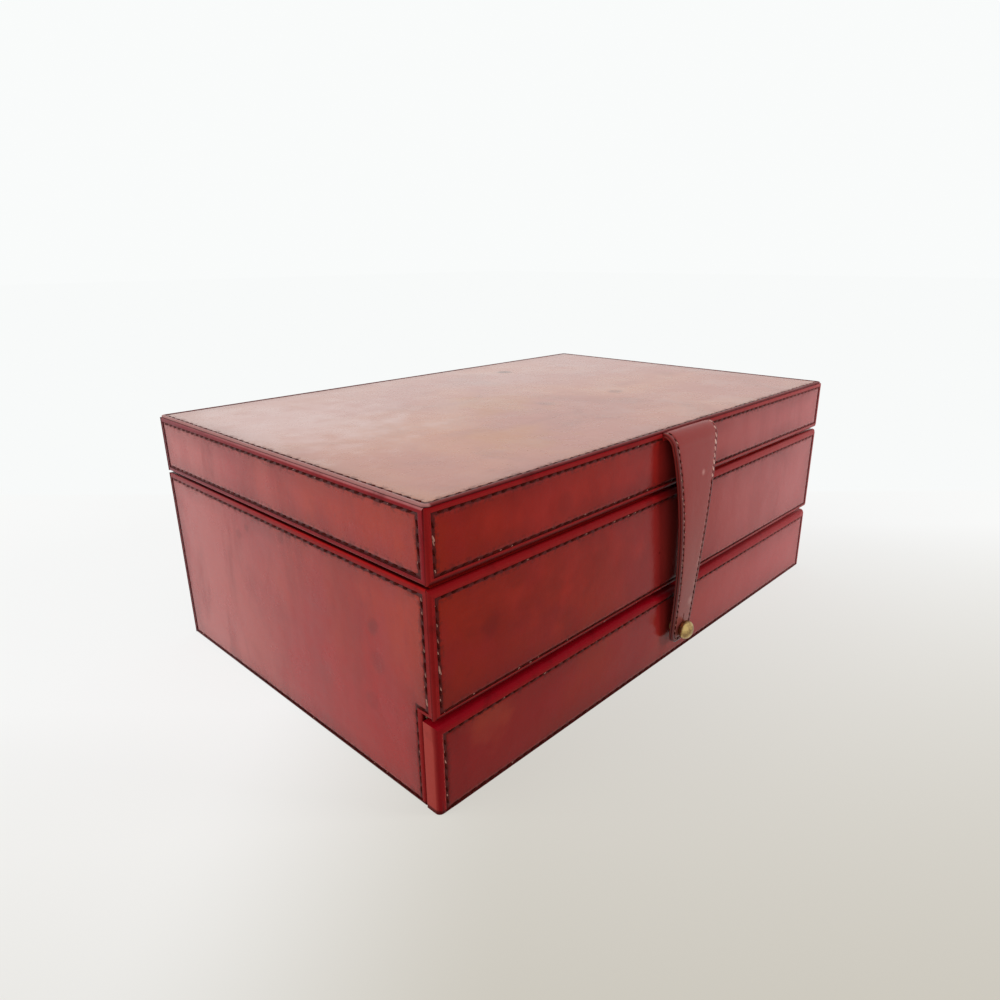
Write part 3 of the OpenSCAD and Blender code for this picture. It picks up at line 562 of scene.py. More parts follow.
def panel(name, v_lo, v_hi, rows, low_r, top_r, seed, notch=None, top_notch=None, skip=None):
    """The stitched leather of a side, from the height v_lo to v_hi. name: its body and side. rows: how far
    the stitch row lies from the left, right, lower and upper edge. low_r, top_r: how round the last two are.
    notch: (u, v, end, row) where the drawer cuts out a corner. top_notch: (half width, v) at the strap."""
    body, side = name.split("_")
    if side in ("front", "back"):
        half, end, material, trim = OX, WRAPPED, red_front, edge_front
    else:
        half, end, material, trim = OY, SET_IN, red_side, edge_side if body == "case" else edge_lid_side
    nu, nv, cut_end, notch_row = notch or (0, 0, None, 0)

    # Insets and depths of each loop at the left, right, lower and upper edge and at the notch
    rims = (end, end, rolled(low_r), rolled(top_r), rolled(0.9))
    rows = (*rows, notch_row)
    room = min(2 * half - rows[0] - rows[1], v_hi - v_lo - rows[2] - rows[3]) / 2 - 1
    fields = [more for more in (3.6, 8, 14) if more < room and (notch is None or more < 9)]
    prof = [(*zip(*(rim[k] for rim in rims)), tone, 0) for k, tone in enumerate(RIM_TONES)]
    prof += face_loops([rim[-1][0] for rim in rims], rows, 1, zip(fields, (*BURNS[:len(fields) - 1], 0)))

    def outline(insets, depths, k=None):
        """The corners (u, v, depth) of loop k, or of the row of stitches."""
        il, ir, ib, it, iq = insets
        dl, dr, db, dt, dq = depths
        u0, u1, v0, v1 = -half + il, half - ir, v_lo + ib, v_hi - it
        if cut_end == "right":
            low = [(u0, v0, max(dl, db)), (nu - iq, v0, max(dq, db)), (nu - iq, nv + iq, dq),
                   (u1, nv + iq, max(dr, dq))]
        else:
            low = [(nu + iq if notch else u0, v0, max(dq if notch else dl, db)), (u1, v0, max(dr, db))]
        strap_cut = []
        if top_notch and k is not None:
            h, z = top_notch[0] + min(0.25 + 0.04 * k, 0.7), min(top_notch[1] - 0.04 * k, v1)
            strap_cut = [(h, v1, dt), (h, z, dt), (-h, z, dt), (-h, v1, dt)]
        left = [(u0, nv + iq, max(dl, dq)), (nu + iq, nv + iq, dq)] if cut_end == "left" else []
        return low + [(u1, v1, max(dr, dt))] + strap_cut + [(u0, v1, max(dl, dt))] + left

    loops, run, _ = dense([outline(*loop[:2], k) for k, loop in enumerate(prof)])
    waver(side, loops, run, (seed * 17 + 3, seed * 31 + 5), (0.16, 0.045), range(RIM + 1, RIM + 6),
          range(RIM, RIM + 5), 40)
    sewn(name, loops, prof, material, trim, RIM + GROOVE_LOOP, body)

    # The row at the corner between the front and the left side gets more pale flecks: painted highlights
    corner_u = {"front": -half + rows[0], "left": half - rows[1]}.get(side)
    seams, corner = [], []
    path = [(u, v) for u, v, _ in outline(rows, [0] * 5)]
    for a, b in zip(path, path[1:] + path[:1]):
        if dist(a, b) > 4:
            run = run_between(side, a, b, skip=skip, trim=0.6 if dist(a, b) < 12 else 1.2)
            (corner if a[0] == b[0] == corner_u else seams).extend(run)
    stitches(name + "_panel_stitches", seams, body)
    if corner:
        stitches(name + "_panel_corner_stitches", corner, body, **CORNER)


panel("case_front", RAIL_Z, CASE_Z, (2.9, 2.9, 2.3, 3.5), 1.8, 1.9, 1)
panel("case_back", SKIRT, CASE_Z, (2.9, 2.9, 1.5, 3.5), 0.6, 0.8, 2)
panel("case_left", SKIRT, CASE_Z, (2.7, 4.3, 1.5, 2.6), 0.6, 0.8, 3, notch=(-NOTCH_Y, RAIL_Z, "right", 2.3))
panel("case_right", SKIRT, CASE_Z, (4.3, 2.7, 1.5, 2.6), 0.6, 0.8, 4, notch=(NOTCH_Y, RAIL_Z, "left", 2.3))
panel("lid_front", LID_Z, LIP_Z, (2.9, 2.9, 2.9, 2.2), 1.9, 0.9, 5, top_notch=(18.5, 109.75),
      skip=lambda q: abs(q[0]) < 19.6 and q[1] > 105)
panel("lid_back", LID_Z, LIP_Z, (2.9, 2.9, 2.9, 2.2), 0.8, 0.9, 6)
panel("lid_left", LID_Z, LIP_Z, (3, 4.5, 2.5, 2.4), 0.7, 0.9, 7)
panel("lid_right", LID_Z, LIP_Z, (4.5, 3, 2.5, 2.4), 0.7, 0.9, 8)


def rounded(x, y, r, w, steps=7):
    """A rectangle of the half sizes x and y with round corners, as (u, v, depth)."""
    pts = []
    x, y = x - r, y - r
    for cx, cy, start in ((x, -y, -90), (x, y, 0), (-x, y, 90), (-x, -y, 180)):
        for i in range(steps + 1):
            a = radians(start + 90 * i / steps)
            pts.append((cx + r * cos(a), cy + r * sin(a), w))
    return pts


def lid_top():
    x, y, r, row = OX - 0.3, OY - 0.3, 2.2, 1.9
    # (inset, depth, tone, burn) of each loop, from the underside over the edge and the groove to the field
    prof = [(2, 2, -1, 0), (2, 1.02, -1, 0), (0.3, 1, -0.8, 0), (0.08, 0.9, 0, 0),
            (0, 0.7, 0.5, 0), (0, 0.45, 0.8, 0), (0.1, 0.2, 0.9, 0), (0.32, 0.06, 1, 0),
            (0.7, 0, 1, 0), (row - 0.6, 0.05, 0.6, 1), (row - 0.36, 0.2, -0.5, 1), (row, 0.38, -1, 1),
            (row + 0.36, 0.2, -0.6, 1), (row + 0.7, 0.12, -0.1, 1), (row + 1.7, 0.1, 0, 1),
            (row + 3.6, 0.1, 0, 0.7), (row + 8, 0.08, 0, 0.25), (row + 14, 0.06, 0, 0)]
    loops, run, _ = dense([rounded(x - i, y - i, max(r - i, 0.5), w) for i, w, *_ in prof])
    waver("top", loops, run, (92, 91), (0.12, 0.04), range(6, 12), range(6, 12), 50)
    sewn("lid_top", loops, prof, red_top, edge_top, 11, "lid")
    corners = [(x - row, -y + row), (x - row, y - row), (-x + row, y - row), (-x + row, -y + row)]
    seams = []
    for i in range(4):
        seams += run_between("top", corners[i - 1], corners[i], depth=0.36, trim=1.6)
    stitches("lid_top_panel_stitches", seams, "lid", length=3.5, width=1.15, fleck_share=0.12)


lid_top()


def drawer_face():
    """The drawer front's leather, wrapped round its edges on to the back of the board."""
    z0, z1, t = 0.1, 35.6, 7
    radii = (2.3, 2.3, 0.4, 2.9)
    rows = (3.8, 3.8, 1.2, 3.8)
    # (insets, depths, tone, burn) of each loop, at the left, right, lower and upper edge
    prof = [([i] * 4, [w] * 4, tone, 0) for i, w, tone in
            ((2, 2, -1), (2, t, -0.6), (0.25, t, 0.2), (0, t - 0.25, 0.3))]
    prof.append(([0] * 4, radii, 0.4, 0))
    for a in (15, 30, 45, 60, 75):
        c, d = 1 - cos(radians(a)), 1 - sin(radians(a))
        prof.append(([r * c for r in radii], [r * d for r in radii], 0.5 + a / 150, 0))
    prof.append((radii, [0] * 4, 1, 0))
    rim = len(prof)
    prof += face_loops(radii, rows, 0.5, zip((3.6, 8, 12), (*BURNS, 0)))

    def corners(left, right, low, high):
        u0, u1, v0, v1 = -OX + left, OX - right, z0 + low, z1 - high
        return [(u0, v0), (u1, v0), (u1, v1), (u0, v1)]

    outlines, run, counts = dense([corners(*insets) for insets, *_ in prof])
    loops = []
    for (_, (left, right, low, high), *_), outline in zip(prof, outlines):
        middle = (low, right, high, left)
        points = iter(outline)
        loop = []
        for i, count in enumerate(counts):
            before, after = max(middle[i - 1], middle[i]), max(middle[i], middle[(i + 1) % 4])
            for j in range(count):
                near = max(0, 1 - min(j, count - j))
                w = middle[i] + ((before if j / count < 0.5 else after) - middle[i]) * near
                loop.append((*next(points), w))
        loops.append(loop)
    uneven = range(rim, len(prof) - 5)
    waver("front", loops, run, (72, 71), (0.14, 0.05), uneven, uneven, 60, 0.4)
    sewn("drawer", loops, prof, red_drawer, edge_drawer, rim + GROOVE_LOOP, "drawer")
    a, b, c, d = corners(*rows)
    seams = run_between("front", a, b) + run_between("front", b, c) + run_between("front", c, d)
    stitches("drawer_panel_stitches", seams, "drawer")
    stitches("drawer_panel_corner_stitches", run_between("front", d, a), "drawer", **CORNER)


drawer_face()


# Strap

END_Z, STUD_Z = 10, 16
HANG_Z, TOP_C = 105, 111.1  # where the strap hangs freely, and its middle line on the lid
FOLD_R, STAND, BOW = 4.8, 3.7, 2.4
END_W, TOP_W, END_R = 15, 36.8, 4
HOLE_R, SLIT_W, SLIT_L = 3.05, 0.3, 5


def stand(z):
    """How far the strap's middle line stands off the front."""
    u = min(1, (HANG_Z - z) / (HANG_Z - STUD_Z))
    return FOLD_R * (1 - u) + STAND * u + BOW * sin(radians(180 * max(u, 0) ** 0.8))


def half_w(z):
    s = (z - END_Z) / (SKIN_Z - END_Z)
    return (END_W + (TOP_W - END_W) * s * s) / 2


# The middle line from inside the lid to the strap's end, as (y, z), with the distance along it
line = [(-OY + 1.6, TOP_C), (-OY + 0.8, TOP_C)]
for i in range(13):
    a = radians(90 * i / 12)
    line.append((-OY - FOLD_R * sin(a), HANG_Z + (TOP_C - HANG_Z) * cos(a)))
for i in range(1, 67):
    z = HANG_Z - (HANG_Z - END_Z) * i / 66
    line.append((-OY - stand(z), z))
line = np.array(line)
along_line = np.concatenate([[0], np.cumsum(np.hypot(*np.diff(line, axis=0).T))])
HANG = 14  # the line's first point where it hangs


def on_line(s):
    return np.array([np.interp(s, along_line, line[:, 0]), np.interp(s, along_line, line[:, 1])])


def strap_point(q, s, n):
    """A point q across, s along and n out from the middle line, with the ways out and along."""
    y, z = on_line(s)
    t = on_line(s + 0.8) - on_line(s - 0.8)
    t /= np.linalg.norm(t)
    out = np.array([t[1], -t[0]])
    return (q, y + out[0] * n, z + out[1] * n), (0, *out), (0, *t)


def s_of(z):
    return float(np.interp(-z, -line[HANG:, 1], along_line[HANG:]))


# From the face round the edge to the lining: (inset from the outline, offset from the middle line, tone)
# Tone -1 gives the lining side the strap's near-black groove colour: a dark lining, deepened as painted shade
# under the strap.
STRAP_RIM = [(3.1, 1.14, 0), (2.5, 1.1, -0.03), (2.1, 1, -0.5), (1.75, 0.84, -1), (1.4, 0.96, -0.3),
             (1.1, 1.06, 0.6), (0.55, 1.04, 0.9), (0.22, 0.92, 0.6), (0.03, 0.66, 0.1), (0.05, 0.25, -0.4),
             (0.28, 0.02, -1), (0.28, -0.02, -1), (0.05, -0.25, -0.5), (0, -0.62, 0.2),
             (0.12, -0.95, -0.2), (0.45, -1.15, -0.6), (1.2, -1.2, -1), (3.1, -1.2, -1)]


def strap_edge(s0, s1, inset, last):
    """The right edge from s0 to s1 as (q, s), moved inwards by the inset, and the corner of the end."""
    stations = [s for s in along_line if s0 - 1e-6 <= s <= s1 + 1e-6]
    if abs(stations[0] - s0) > 0.3:
        stations = [s0] + stations
    if abs(stations[-1] - s1) > 0.3:
        stations.append(s1)
    pts = []
    for s in stations:
        z = on_line(s)[1]
        if z > END_Z + END_R + 1e-6:
            pts.append((half_w(z) - inset, s))
    if last:
        r = max(END_R - inset, 0.9)
        end = s1 - inset
        k = half_w(END_Z + END_R) - inset - r
        pts += [(k + r * cos(radians(a)), end - r + r * sin(radians(a)))
                for a in range(0, 91, 15)]
        pts.append((k * 0.5, end))
    return pts


def strap_piece(z_top, z_bottom, last):
    """Vertices, faces and tones of the strap between two heights. last: it has the strap's end."""
    s0, s1 = 0 if z_top is None else s_of(z_top), s_of(z_bottom)
    edges = [strap_edge(s0, s1, inset, last) for inset, _, _ in STRAP_RIM]
    rows, n, across = len(edges), len(edges[0]), 6
    verts, tones, faces, at = [], [], [], {}

    def add(k, j, m, q, s, off, tone):
        """Point of row k at station j, m parts of the way across from the right to the left edge."""
        at[k, j, m] = len(verts)
        verts.append(strap_point(q, s, off)[0])
        tones.append(tone)

    for m, way in ((0, 1), (across, -1)):
        for k, (_, off, tone) in enumerate(STRAP_RIM):
            for j, (q, s) in enumerate(edges[k]):
                add(k, j, m, way * q, s, off, tone)
    for j in range(n - 1):
        for k in range(rows - 1):
            for m in (0, across):
                quad = (at[k, j, m], at[k, j + 1, m], at[k + 1, j + 1, m], at[k + 1, j, m])
                faces.append(quad if m == 0 else tuple(reversed(quad)))
    for k, crown, tone in ((0, 0.06, 0), (rows - 1, 0, -1)):
        for j, (q, s) in enumerate(edges[k]):
            for m in range(1, across):
                f = 1 - 2 * m / across
                add(k, j, m, q * f, s, STRAP_RIM[k][1] + crown * (1 - f * f), tone)
        for j in range(n - 1):
            for m in range(across):
                quad = (at[k, j, m], at[k, j, m + 1], at[k, j + 1, m + 1], at[k, j + 1, m])
                faces.append(quad if k == 0 else tuple(reversed(quad)))

    def ring(j):
        return ([at[k, j, 0] for k in range(rows)] + [at[rows - 1, j, m] for m in range(1, across)]
                + [at[k, j, across] for k in reversed(range(rows))]
                + [at[0, j, m] for m in reversed(range(1, across))])

    # Close the upper cut, and the lower cut or the end
    faces.append(tuple(ring(0)))
    j = n - 1
    if not last:
        faces.append(tuple(reversed(ring(j))))
        return verts, faces, tones
    for k in range(rows - 1):
        near = [at[0, j, m] for m in range(1, across)] if k == 0 else []
        back = [at[k + 1, j, m] for m in reversed(range(1, across))] if k == rows - 2 else []
        faces.append((at[k, j, 0], *near, at[k, j, across], at[k + 1, j, across], *back, at[k + 1, j, 0]))
    return verts, faces, tones


JOIN_Z = 104  # the upper piece holds the fold, the lower one rides on the strap
STRAP_SHARP = 50
v, f, t = strap_piece(None, JOIN_Z, False)
fold = build("strap_fold_piece", v, f, strap_red, None, "strap_leather", (), t, sharp=STRAP_SHARP)
v, f, t = strap_piece(JOIN_Z, END_Z, True)
drop = build("strap_drop", v, f, strap_red, None, "strap_leather", (), t, sharp=STRAP_SHARP)


def cutter():
    """The buttonhole and its slit, as one closed outline pushed through the strap."""
    a0 = asin(SLIT_W / HOLE_R)
    pts = []
    for i in range(33):
        a = pi / 2 + a0 + (2 * pi - 2 * a0) * i / 32
        pts.append((HOLE_R * cos(a), STUD_Z + HOLE_R * sin(a)))
    top = STUD_Z + HOLE_R + SLIT_L
    pts += [(SLIT_W, top - SLIT_W), (SLIT_W * 0.7, top - 0.15), (0, top), (-SLIT_W * 0.7, top - 0.15),
            (-SLIT_W, top - SLIT_W)]
    n = len(pts)
    verts = [(x, y, z) for y in (-108, -94) for x, z in pts]
    faces = [tuple(range(n)), tuple(reversed(range(n, 2 * n)))]
    faces += [((i + 1) % n, i, n + i, n + (i + 1) % n) for i in range(n)]
    return build("cutter", verts, faces, strap_red)


cut = cutter()
mod = drop.modifiers.new("hole", "BOOLEAN")
mod.operation, mod.object, mod.solver = "DIFFERENCE", cut, "EXACT"
bpy.context.view_layer.update()
drop_mesh = bpy.data.meshes.new_from_object(drop.evaluated_get(bpy.context.evaluated_depsgraph_get()))
drop.modifiers.clear()
drop.data = drop_mesh
bpy.data.objects.remove(cut)
# The cut leaves its new vertices without a tone: on the lining's side they are as dark as the rest of it
tone_of = drop_mesh.attributes["tone"].data
for vertex in drop_mesh.vertices:
    x, y, z = (1000 * c for c in vertex.co)
    above = z - STUD_Z
    at_hole = abs(hypot(x, above) - HOLE_R) < 0.02
    at_slit = abs(x) < SLIT_W + 0.02 and HOLE_R - 0.15 < above < HOLE_R + SLIT_L + 0.05
    if (at_hole or at_slit) and y > np.interp(-z, -line[HANG:, 1], line[HANG:, 0]):
        tone_of[vertex.index].value = -1
smooth(drop_mesh, STRAP_SHARP)


def strap_rows(z_top, z_bottom, pick):
    """Stitch frames of the side rows that pick accepts, and along the end where the piece reaches it."""
    start, pitch, inset, off = 1.8, 2.9, 1.75, 0.95
    s0, s1 = start if z_top is None else s_of(z_top), s_of(z_bottom)
    total = s_of(END_Z + END_R) - start
    n = round(total / pitch)
    out = []
    for side in (1, -1):
        for i in range(n):
            s = start + total * (i + 0.5) / n
            z, z2 = on_line(s)[1], on_line(s + 1)[1]
            if not s0 <= s < s1 or not pick(side, z):
                continue
            q, q2 = side * (half_w(z) - inset), side * (half_w(z2) - inset)
            p, o, t = strap_point(q, s, off)
            al = np.array([q2 - q, t[1], t[2]])
            out.append((p, al / np.linalg.norm(al) * side, o))
    if z_bottom <= END_Z + 0.1:
        for q in (-pitch, 0, pitch):
            p, o, _ = strap_point(q, s_of(END_Z) - inset, off)
            out.append((p, (1, 0, 0), o))
    return out


SHEEN_Z = 87


def painted_sheen(side, z):
    """The thread at the upper right of the strap is painted pale: a painted highlight."""
    return side > 0 and z > SHEEN_Z


def brown_below(side, z):
    """Below that the thread is a brown that hardly stands out from the leather."""
    return side > 0 and z <= SHEEN_Z


fine = dict(length=1.9, width=0.7, slant=24, fleck_share=0.9, pale=1.4)
soft = dict(length=2.2, width=0.8, slant=26, fleck_share=0.2, yarn=brown_thread)
bold = dict(length=2.3, width=1.05, slant=30, fleck_share=0.3, yarn=pale_highlight_thread)
plain_rows = strap_rows(None, JOIN_Z, lambda q, z: not painted_sheen(q, z))
fold_st = stitches("strap_fold_stitches", plain_rows, None, **fine)
fold_highlight = stitches("strap_fold_highlight_stitches", strap_rows(None, JOIN_Z, painted_sheen), None, **bold)
drop_st = stitches("strap_drop_stitches", strap_rows(JOIN_Z, END_Z, lambda q, z: q < 0), None, **fine)
drop_soft = stitches("strap_drop_brown_stitches", strap_rows(JOIN_Z, END_Z + 1, brown_below), None, **soft)
drop_highlight = stitches("strap_drop_highlight_stitches", strap_rows(JOIN_Z, SHEEN_Z, painted_sheen), None, **bold)
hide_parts("strap_lining")
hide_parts("strap_outer")
for o in (fold, fold_st, fold_highlight):
    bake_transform(o)
for o in (drop, drop_st, drop_soft, drop_highlight):
    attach(o, "strap")


# Stud

def lathe(name, profile, centre, axis, material, body, slot, node, steps=48):
    """profile: (radius, distance along the axis)."""
    ax = Vector(axis).normalized()
    side = ax.orthogonal().normalized()
    up = ax.cross(side)
    loops = [[Vector(centre) + ax * h + (side * cos(a) + up * sin(a)) * max(r, 0.001)
              for a in (2 * pi * i / steps for i in range(steps))] for r, h in profile]
    build(name, *stack(loops), material, body, slot, (node,), sharp=40)


ball = [(0, 0), (2.7, 0), (2.7, 0.45), (2.6, 0.75), (2.4, 0.95), (2.2, 1.05), (2, 1.3)]
for i in range(29):
    a = radians(-62 + 152 * i / 28)
    ball.append((4.45 * cos(a), 7.3 + 3.2 * sin(a)))
lathe("ball_stud", ball, (0, -OY + 0.14, STUD_Z), (0, -1, 0), brass, "drawer", "aged_brass", "drawer_stud")


# Linings

def mm(node):
    lo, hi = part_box(node)
    return [1000 * c for c in lo], [1000 * c for c in hi]


def soft_sheet(place, lo, hi, t, seed, r=0.45, crown=0.25):
    """Vertices, faces and tones of a glued-in sheet with soft edges. place maps (u, v, height)."""
    small = min(hi[0] - lo[0], hi[1] - lo[1]) / 2
    prof = [(0.12, 0, -1), (0, 0.1, -0.6), (0, t - r, 0.2), (0.29 * r, t - 0.29 * r, 0.8),
            (r, t, 1), (r + 0.5, t + 0.04, 0.3), (r + 1.1, t - 0.06, -0.45), (r + 1.8, t + 0.02, 0)]
    for f in (0.2, 0.45, 0.75):
        prof.append((max(f * small, r + 2.2 + f), t + crown * (1 - (1 - f) ** 2), 0))
    outlines = []
    for i, _, _ in prof:
        u0, v0, u1, v1 = lo[0] + i, lo[1] + i, hi[0] - i, hi[1] - i
        outlines.append([(u0, v0), (u1, v0), (u1, v1), (u0, v1)])
    outlines, run, _ = dense(outlines, 6)
    wave = wobble(seed, 0.07)
    loops = [[place(u, v, h + (wave(d + 11 * i) if i > r + 1 else 0)) for (u, v), d in zip(pts, run)]
             for (i, h, _), pts in zip(prof, outlines)]
    return (*stack(loops), spread([p[2] for p in prof], loops))


def level_lining(name, node, material, body, seed, down=False, crown=0, slot="suede_lining", r=0.3):
    lo, hi = mm(node)
    if down:
        place = lambda u, v, w: (u, -v, hi[2] - w)
        v0, v1 = -hi[1], -lo[1]
    else:
        place = lambda u, v, w: (u, v, lo[2] + w)
        v0, v1 = lo[1], hi[1]
    v, f, t = soft_sheet(place, (lo[0], v0), (hi[0], v1), hi[2] - lo[2] - crown - 0.08, seed, r, crown)
    build(name, v, f, material, body, slot, (node,), t)


def wall_lining(name, node, body, seed):
    """Four sheets on the inside of the walls, meeting at the corners."""
    (x0, y0, z0), (x1, y1, z1) = mm(node)
    gap, thick = 0.05, 1
    walls = [
        (lambda u, v, w: (-u, y0 + w, v), -x1 + gap, -x0 - gap),
        (lambda u, v, w: (u, y1 - w, v), x0 + gap, x1 - gap),
        (lambda u, v, w: (x0 + w, u, v), y0 + thick, y1 - thick),
        (lambda u, v, w: (x1 - w, -u, v), -y1 + thick, -y0 - thick),
    ]
    verts, faces, tones = [], [], []
    for i, (place, u0, u1) in enumerate(walls):
        v, f, t = soft_sheet(place, (u0, z0), (u1, z1), thick - 0.12, seed + i, 0.4, 0.06)
        faces += [tuple(i + len(verts) for i in face) for face in f]
        verts += v
        tones += t
    build(name, verts, faces, suede, body, "suede_lining", (node,), tones)


def covered_divider(name, node, body, seed):
    """A board folded into suede: rounded along the top, creased where it meets the floor."""
    lo, hi = mm(node)
    along = 0 if hi[0] - lo[0] > hi[1] - lo[1] else 1
    a0, a1 = lo[along], hi[along]
    m = (lo[1 - along] + hi[1 - along]) / 2
    h, w = hi[2] - lo[2], (hi[1 - along] - lo[1 - along]) / 2
    # The cross-section as (across, up, tone), from one foot over the top to the other
    foot = [(w - 0.25, 0, -1), (w, 0.35, -0.5), (w - 0.06, 0.5 * h, 0), (w - 0.02, h - 1.7 * w, -0.25)]
    section = [(-q, z, tone) for q, z, tone in foot]
    for k in range(13):
        a = pi * k / 12
        section.append((-w * cos(a), h - w + w * sin(a), 0.9 if 3 <= k <= 9 else 0.3))
    section += reversed(foot)
    n, k = int((a1 - a0) / 4), len(section)
    lean, dip = wobble(seed, 0.07), wobble(seed + 5, 0.09)
    verts = []
    for i in range(n + 1):
        s = a0 + (a1 - a0) * i / n
        for q, z, _ in section:
            side = m + min(max(q + lean(s) * (z / h), -w), w)
            top = lo[2] + z - (abs(dip(s)) if z > 1 else 0)
            verts.append((s, side, top) if along == 0 else (side, s, top))
    faces = []
    for i in range(n):
        for j in range(k):
            a, b = i * k + j, i * k + (j + 1) % k
            faces.append((a, a + k, b + k, b))
    faces += [tuple(range(k)), tuple(n * k + j for j in reversed(range(k)))]
    if along == 0:
        faces = [tuple(reversed(face)) for face in faces]
    tones = [tone for _, _, tone in section] * (n + 1)
    build(name, verts, faces, suede, body, "suede_lining", (node,), tones)


def ring_roll(number, x0, x1, yc, floor_z, mid, r, top):
    """A stuffed roll: fullest between its ends, pressed flat below and against its neighbours."""
    n, k = 46, 32
    wave, crease = wobble(300 + number, 0.28), wobble(340 + number, 0.2)
    loops, tones = [], []
    for i in range(n + 1):
        x = x0 + (x1 - x0) * (i / n)
        end = min(x - x0, x1 - x) / 6
        swell = 0.3 + 0.7 * ((1 - (1 - min(end, 1)) ** 2.6) ** 0.5 if end > 0 else 0)
        # Wrinkles gather at the seams of the ends
        pull = exp(-min(x - x0, x1 - x) / 9)
        loop = []
        for j in range(k):
            a = 2 * pi * j / k
            rr = r * swell * 0.985
            ripple = 0.16 * pull * sin(a * 11 + number) + 0.1 * sin(a * 3 + x * 0.09 + number)
            q = rr * cos(a) + (ripple + 0.4 * wave(x + 4 * a)) * cos(a) * 0.5
            z = rr * sin(a) + (ripple + crease(x * 1.3 + 7 * a)) * sin(a) * 0.6
            q = max(min(q, r - 0.04), -r + 0.04)
            z = max(mid + z, 0 if end > 0.5 else 0.25 * (0.5 - end))
            loop.append((x, yc + q, floor_z + min(z, top - 0.03)))
            tones.append(-0.8 if abs(cos(a)) > 0.93 else 0.35 if sin(a) > 0.8 else 0)
        loops.append(loop)
    name = "ring_roll_%d" % number
    o = build(name, *stack(loops), suede, "case", "suede_lining", ("ring_rolls",), tones, sharp=80)


level_lining("bay_felt_sheet", "bay_felt", felt, "case", 11, slot="felt", r=0.2)
level_lining("well_floor_suede", "well_floor_lining", suede, "case", 12, r=0.25)
wall_lining("well_wall_suede", "well_wall_lining", "case", 20)
level_lining("lid_top_suede", "lid_top_lining", suede, "lid", 13, down=True, crown=0.12)
wall_lining("lid_wall_suede", "lid_wall_lining", "lid", 30)
level_lining("drawer_floor_suede", "drawer_floor_lining", suede, "drawer", 14, r=0.25)
wall_lining("drawer_wall_suede", "drawer_wall_lining", "drawer", 40)
for i, node in enumerate(("long_divider", "front_cross_divider", "rear_cross_divider_left",
                          "rear_cross_divider_right")):
    covered_divider(node + "_suede", node, "case", 50 + i)
for i, node in enumerate(("drawer_divider_left", "drawer_divider_right")):
    covered_divider(node + "_suede", node, "drawer", 60 + i)
ROLLS = 6
(rx0, ry0, rz0), (rx1, ry1, rz1) = mm("ring_rolls")
roll_w = (ry1 - ry0) / ROLLS
for i in range(ROLLS):
    ring_roll(i + 1, rx0, rx1, ry0 + roll_w * (i + 0.5), rz0, 6, min(7.5, roll_w / 2), rz1 - rz0)


# Carried-over CAD nodes

for material, names in (
        (board, "case_floor case_side_left case_side_right case_back front_rail shelf lid_top_board "
                "lid_front_wall lid_back_wall lid_left_wall lid_right_wall drawer_front drawer_left_side "
                "drawer_right_side drawer_back drawer_bottom"),
        (edge_red, "case_rim_binding lid_rim_binding strap_root base_leather"),
        (brass, "case_hinge_leaf_left case_hinge_leaf_right hinge_pin_left hinge_pin_right case_hinge_screws "
                "lid_hinge_leaf_left lid_hinge_leaf_right lid_hinge_screws drawer_stud stud_screw")):
    for name in names.split():
        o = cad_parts[name]
        for slot in o.material_slots:
            slot.material = material
        if not o.material_slots:
            o.data.materials.append(material)


# Stage, light and camera

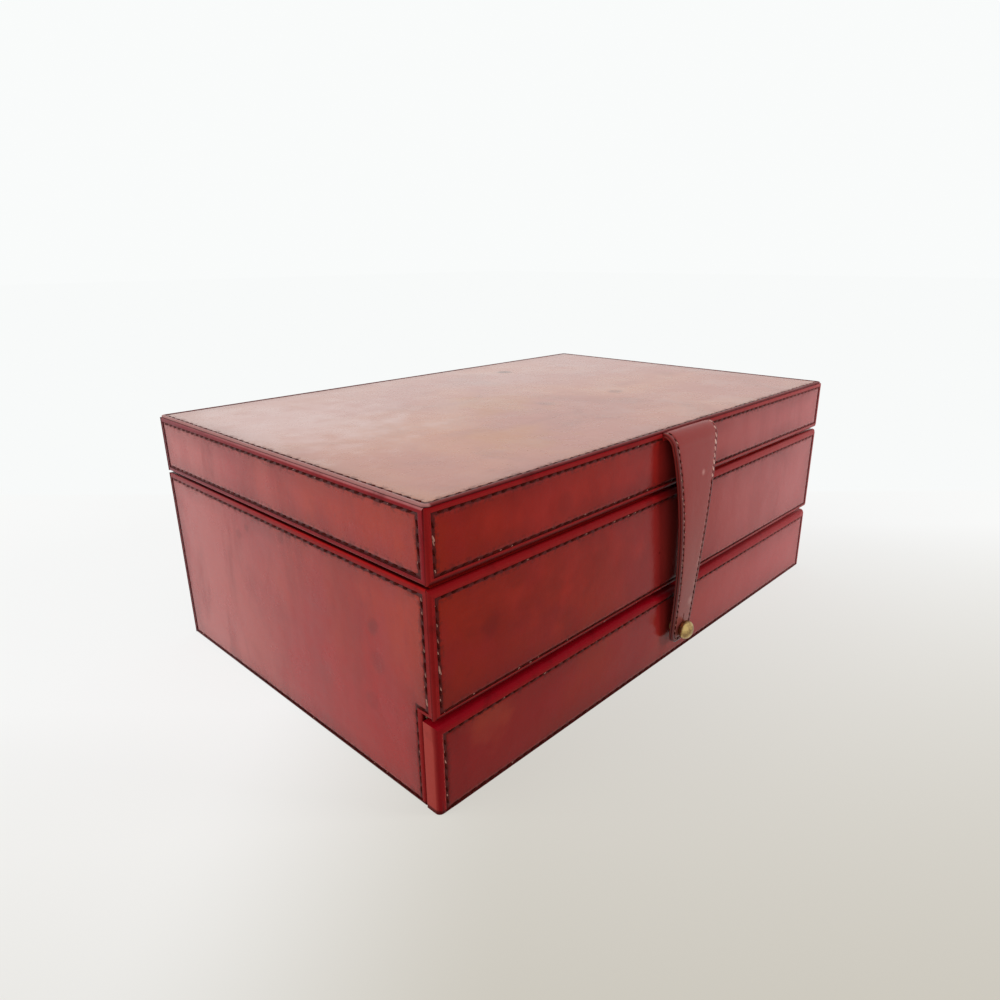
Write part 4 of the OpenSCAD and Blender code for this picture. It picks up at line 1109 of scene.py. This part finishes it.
def floor():
    """White paper under the box, painted white as a wall beyond a line behind it."""
    mesh = bpy.data.meshes.new("floor")
    mesh.from_pydata([(-6, -6, 0), (6, -6, 0), (6, 6, 0), (-6, 6, 0)], [], [(0, 1, 2, 3)])
    o = bpy.data.objects.new("floor", mesh)
    scene.collection.objects.link(o)
    g = Graph("paper_floor")

    def measure(operation, *way):
        return g.node("VectorMath", ((0, g.where), *way), operation=operation)["Value"]

    deep = measure("DOT_PRODUCT", (1, (0.7307, 0.6827, 0)))
    across = measure("DOT_PRODUCT", (1, (-0.6827, 0.7307, 0)))
    # Painted shade: the paper darkens toward the camera and the front right, a soft shadow painted into its
    # colour; farther off it turns white.
    tone = g.math("ADD", g.times(deep, 2.7), 0.7)
    tone = g.math("ADD", tone, g.steps(across, 0, 0.12, 0, 0.6), clamp=True)
    tone = g.math("MAXIMUM", tone, g.steps(measure("LENGTH"), 0.3, 0.62))
    c = g.mix(tone, (0.6, 0.57, 0.5), (0.955, 0.96, 0.953))
    wall = g.steps(deep, 0.178, 0.192)
    glow = g.node("Emission", (("Color", g.mix(wall, c, (0.94, 0.955, 0.95))),))
    g.show(glow[0], g.steps(wall, 0, 1, 0.8, 1), "Material Output")
    mesh.materials.append(g.dress(c, ("Roughness", 0.8), ("Specular IOR Level", 0.1)))


floor()

sky = Graph("studio", "worlds", "Background")
scene.world = sky.dress((1, 1, 1), ("Strength", 0.55))
white = sky.node("Background", (("Color", (0.95, 0.965, 0.96)), ("Strength", 1)))
sky.show(white[0], 1, "World Output")

# Soft lamps from the left rear and from the right front: the strap throws its shadow to the left
for name, where, size, energy in (("left_rear", (-1.5, 0.7, 1.5), 1.4, 20),
                                  ("front_right", (1.35, -1.8, 1), 0.7, 26)):
    data = bpy.data.lights.new(name, "AREA")
    data.shape, data.size, data.energy = "SQUARE", size, energy
    o = bpy.data.objects.new(name, data)
    o.location = where
    o.rotation_euler = (Vector((0, 0, 0.05)) - Vector(where)).to_track_quat("-Z", "Y").to_euler()
    o.visible_glossy = False
    scene.collection.objects.link(o)

cam_data = bpy.data.cameras.new("camera")
cam_data.lens, cam_data.sensor_width = 26.015, 36
cam_data.shift_x, cam_data.shift_y = -0.01686, 0.00554
cam_data.clip_start = 0.02
cam = bpy.data.objects.new("camera", cam_data)
scene.collection.objects.link(cam)
ahead = Vector((0.68565, 0.64961, -0.32846)).normalized()
right = ahead.cross(Vector((0, 0, 1))).normalized()
up = right.cross(ahead)
roll = radians(-0.3646)
rolled_right = right * cos(roll) + up * sin(roll)
rolled_up = up * cos(roll) - right * sin(roll)
turn = Matrix((rolled_right, rolled_up, -ahead)).transposed().to_4x4()
cam.matrix_world = Matrix.Translation((-0.27194, -0.25189, 0.18225)) @ turn
scene.camera = cam
scene.view_settings.view_transform = "Standard"
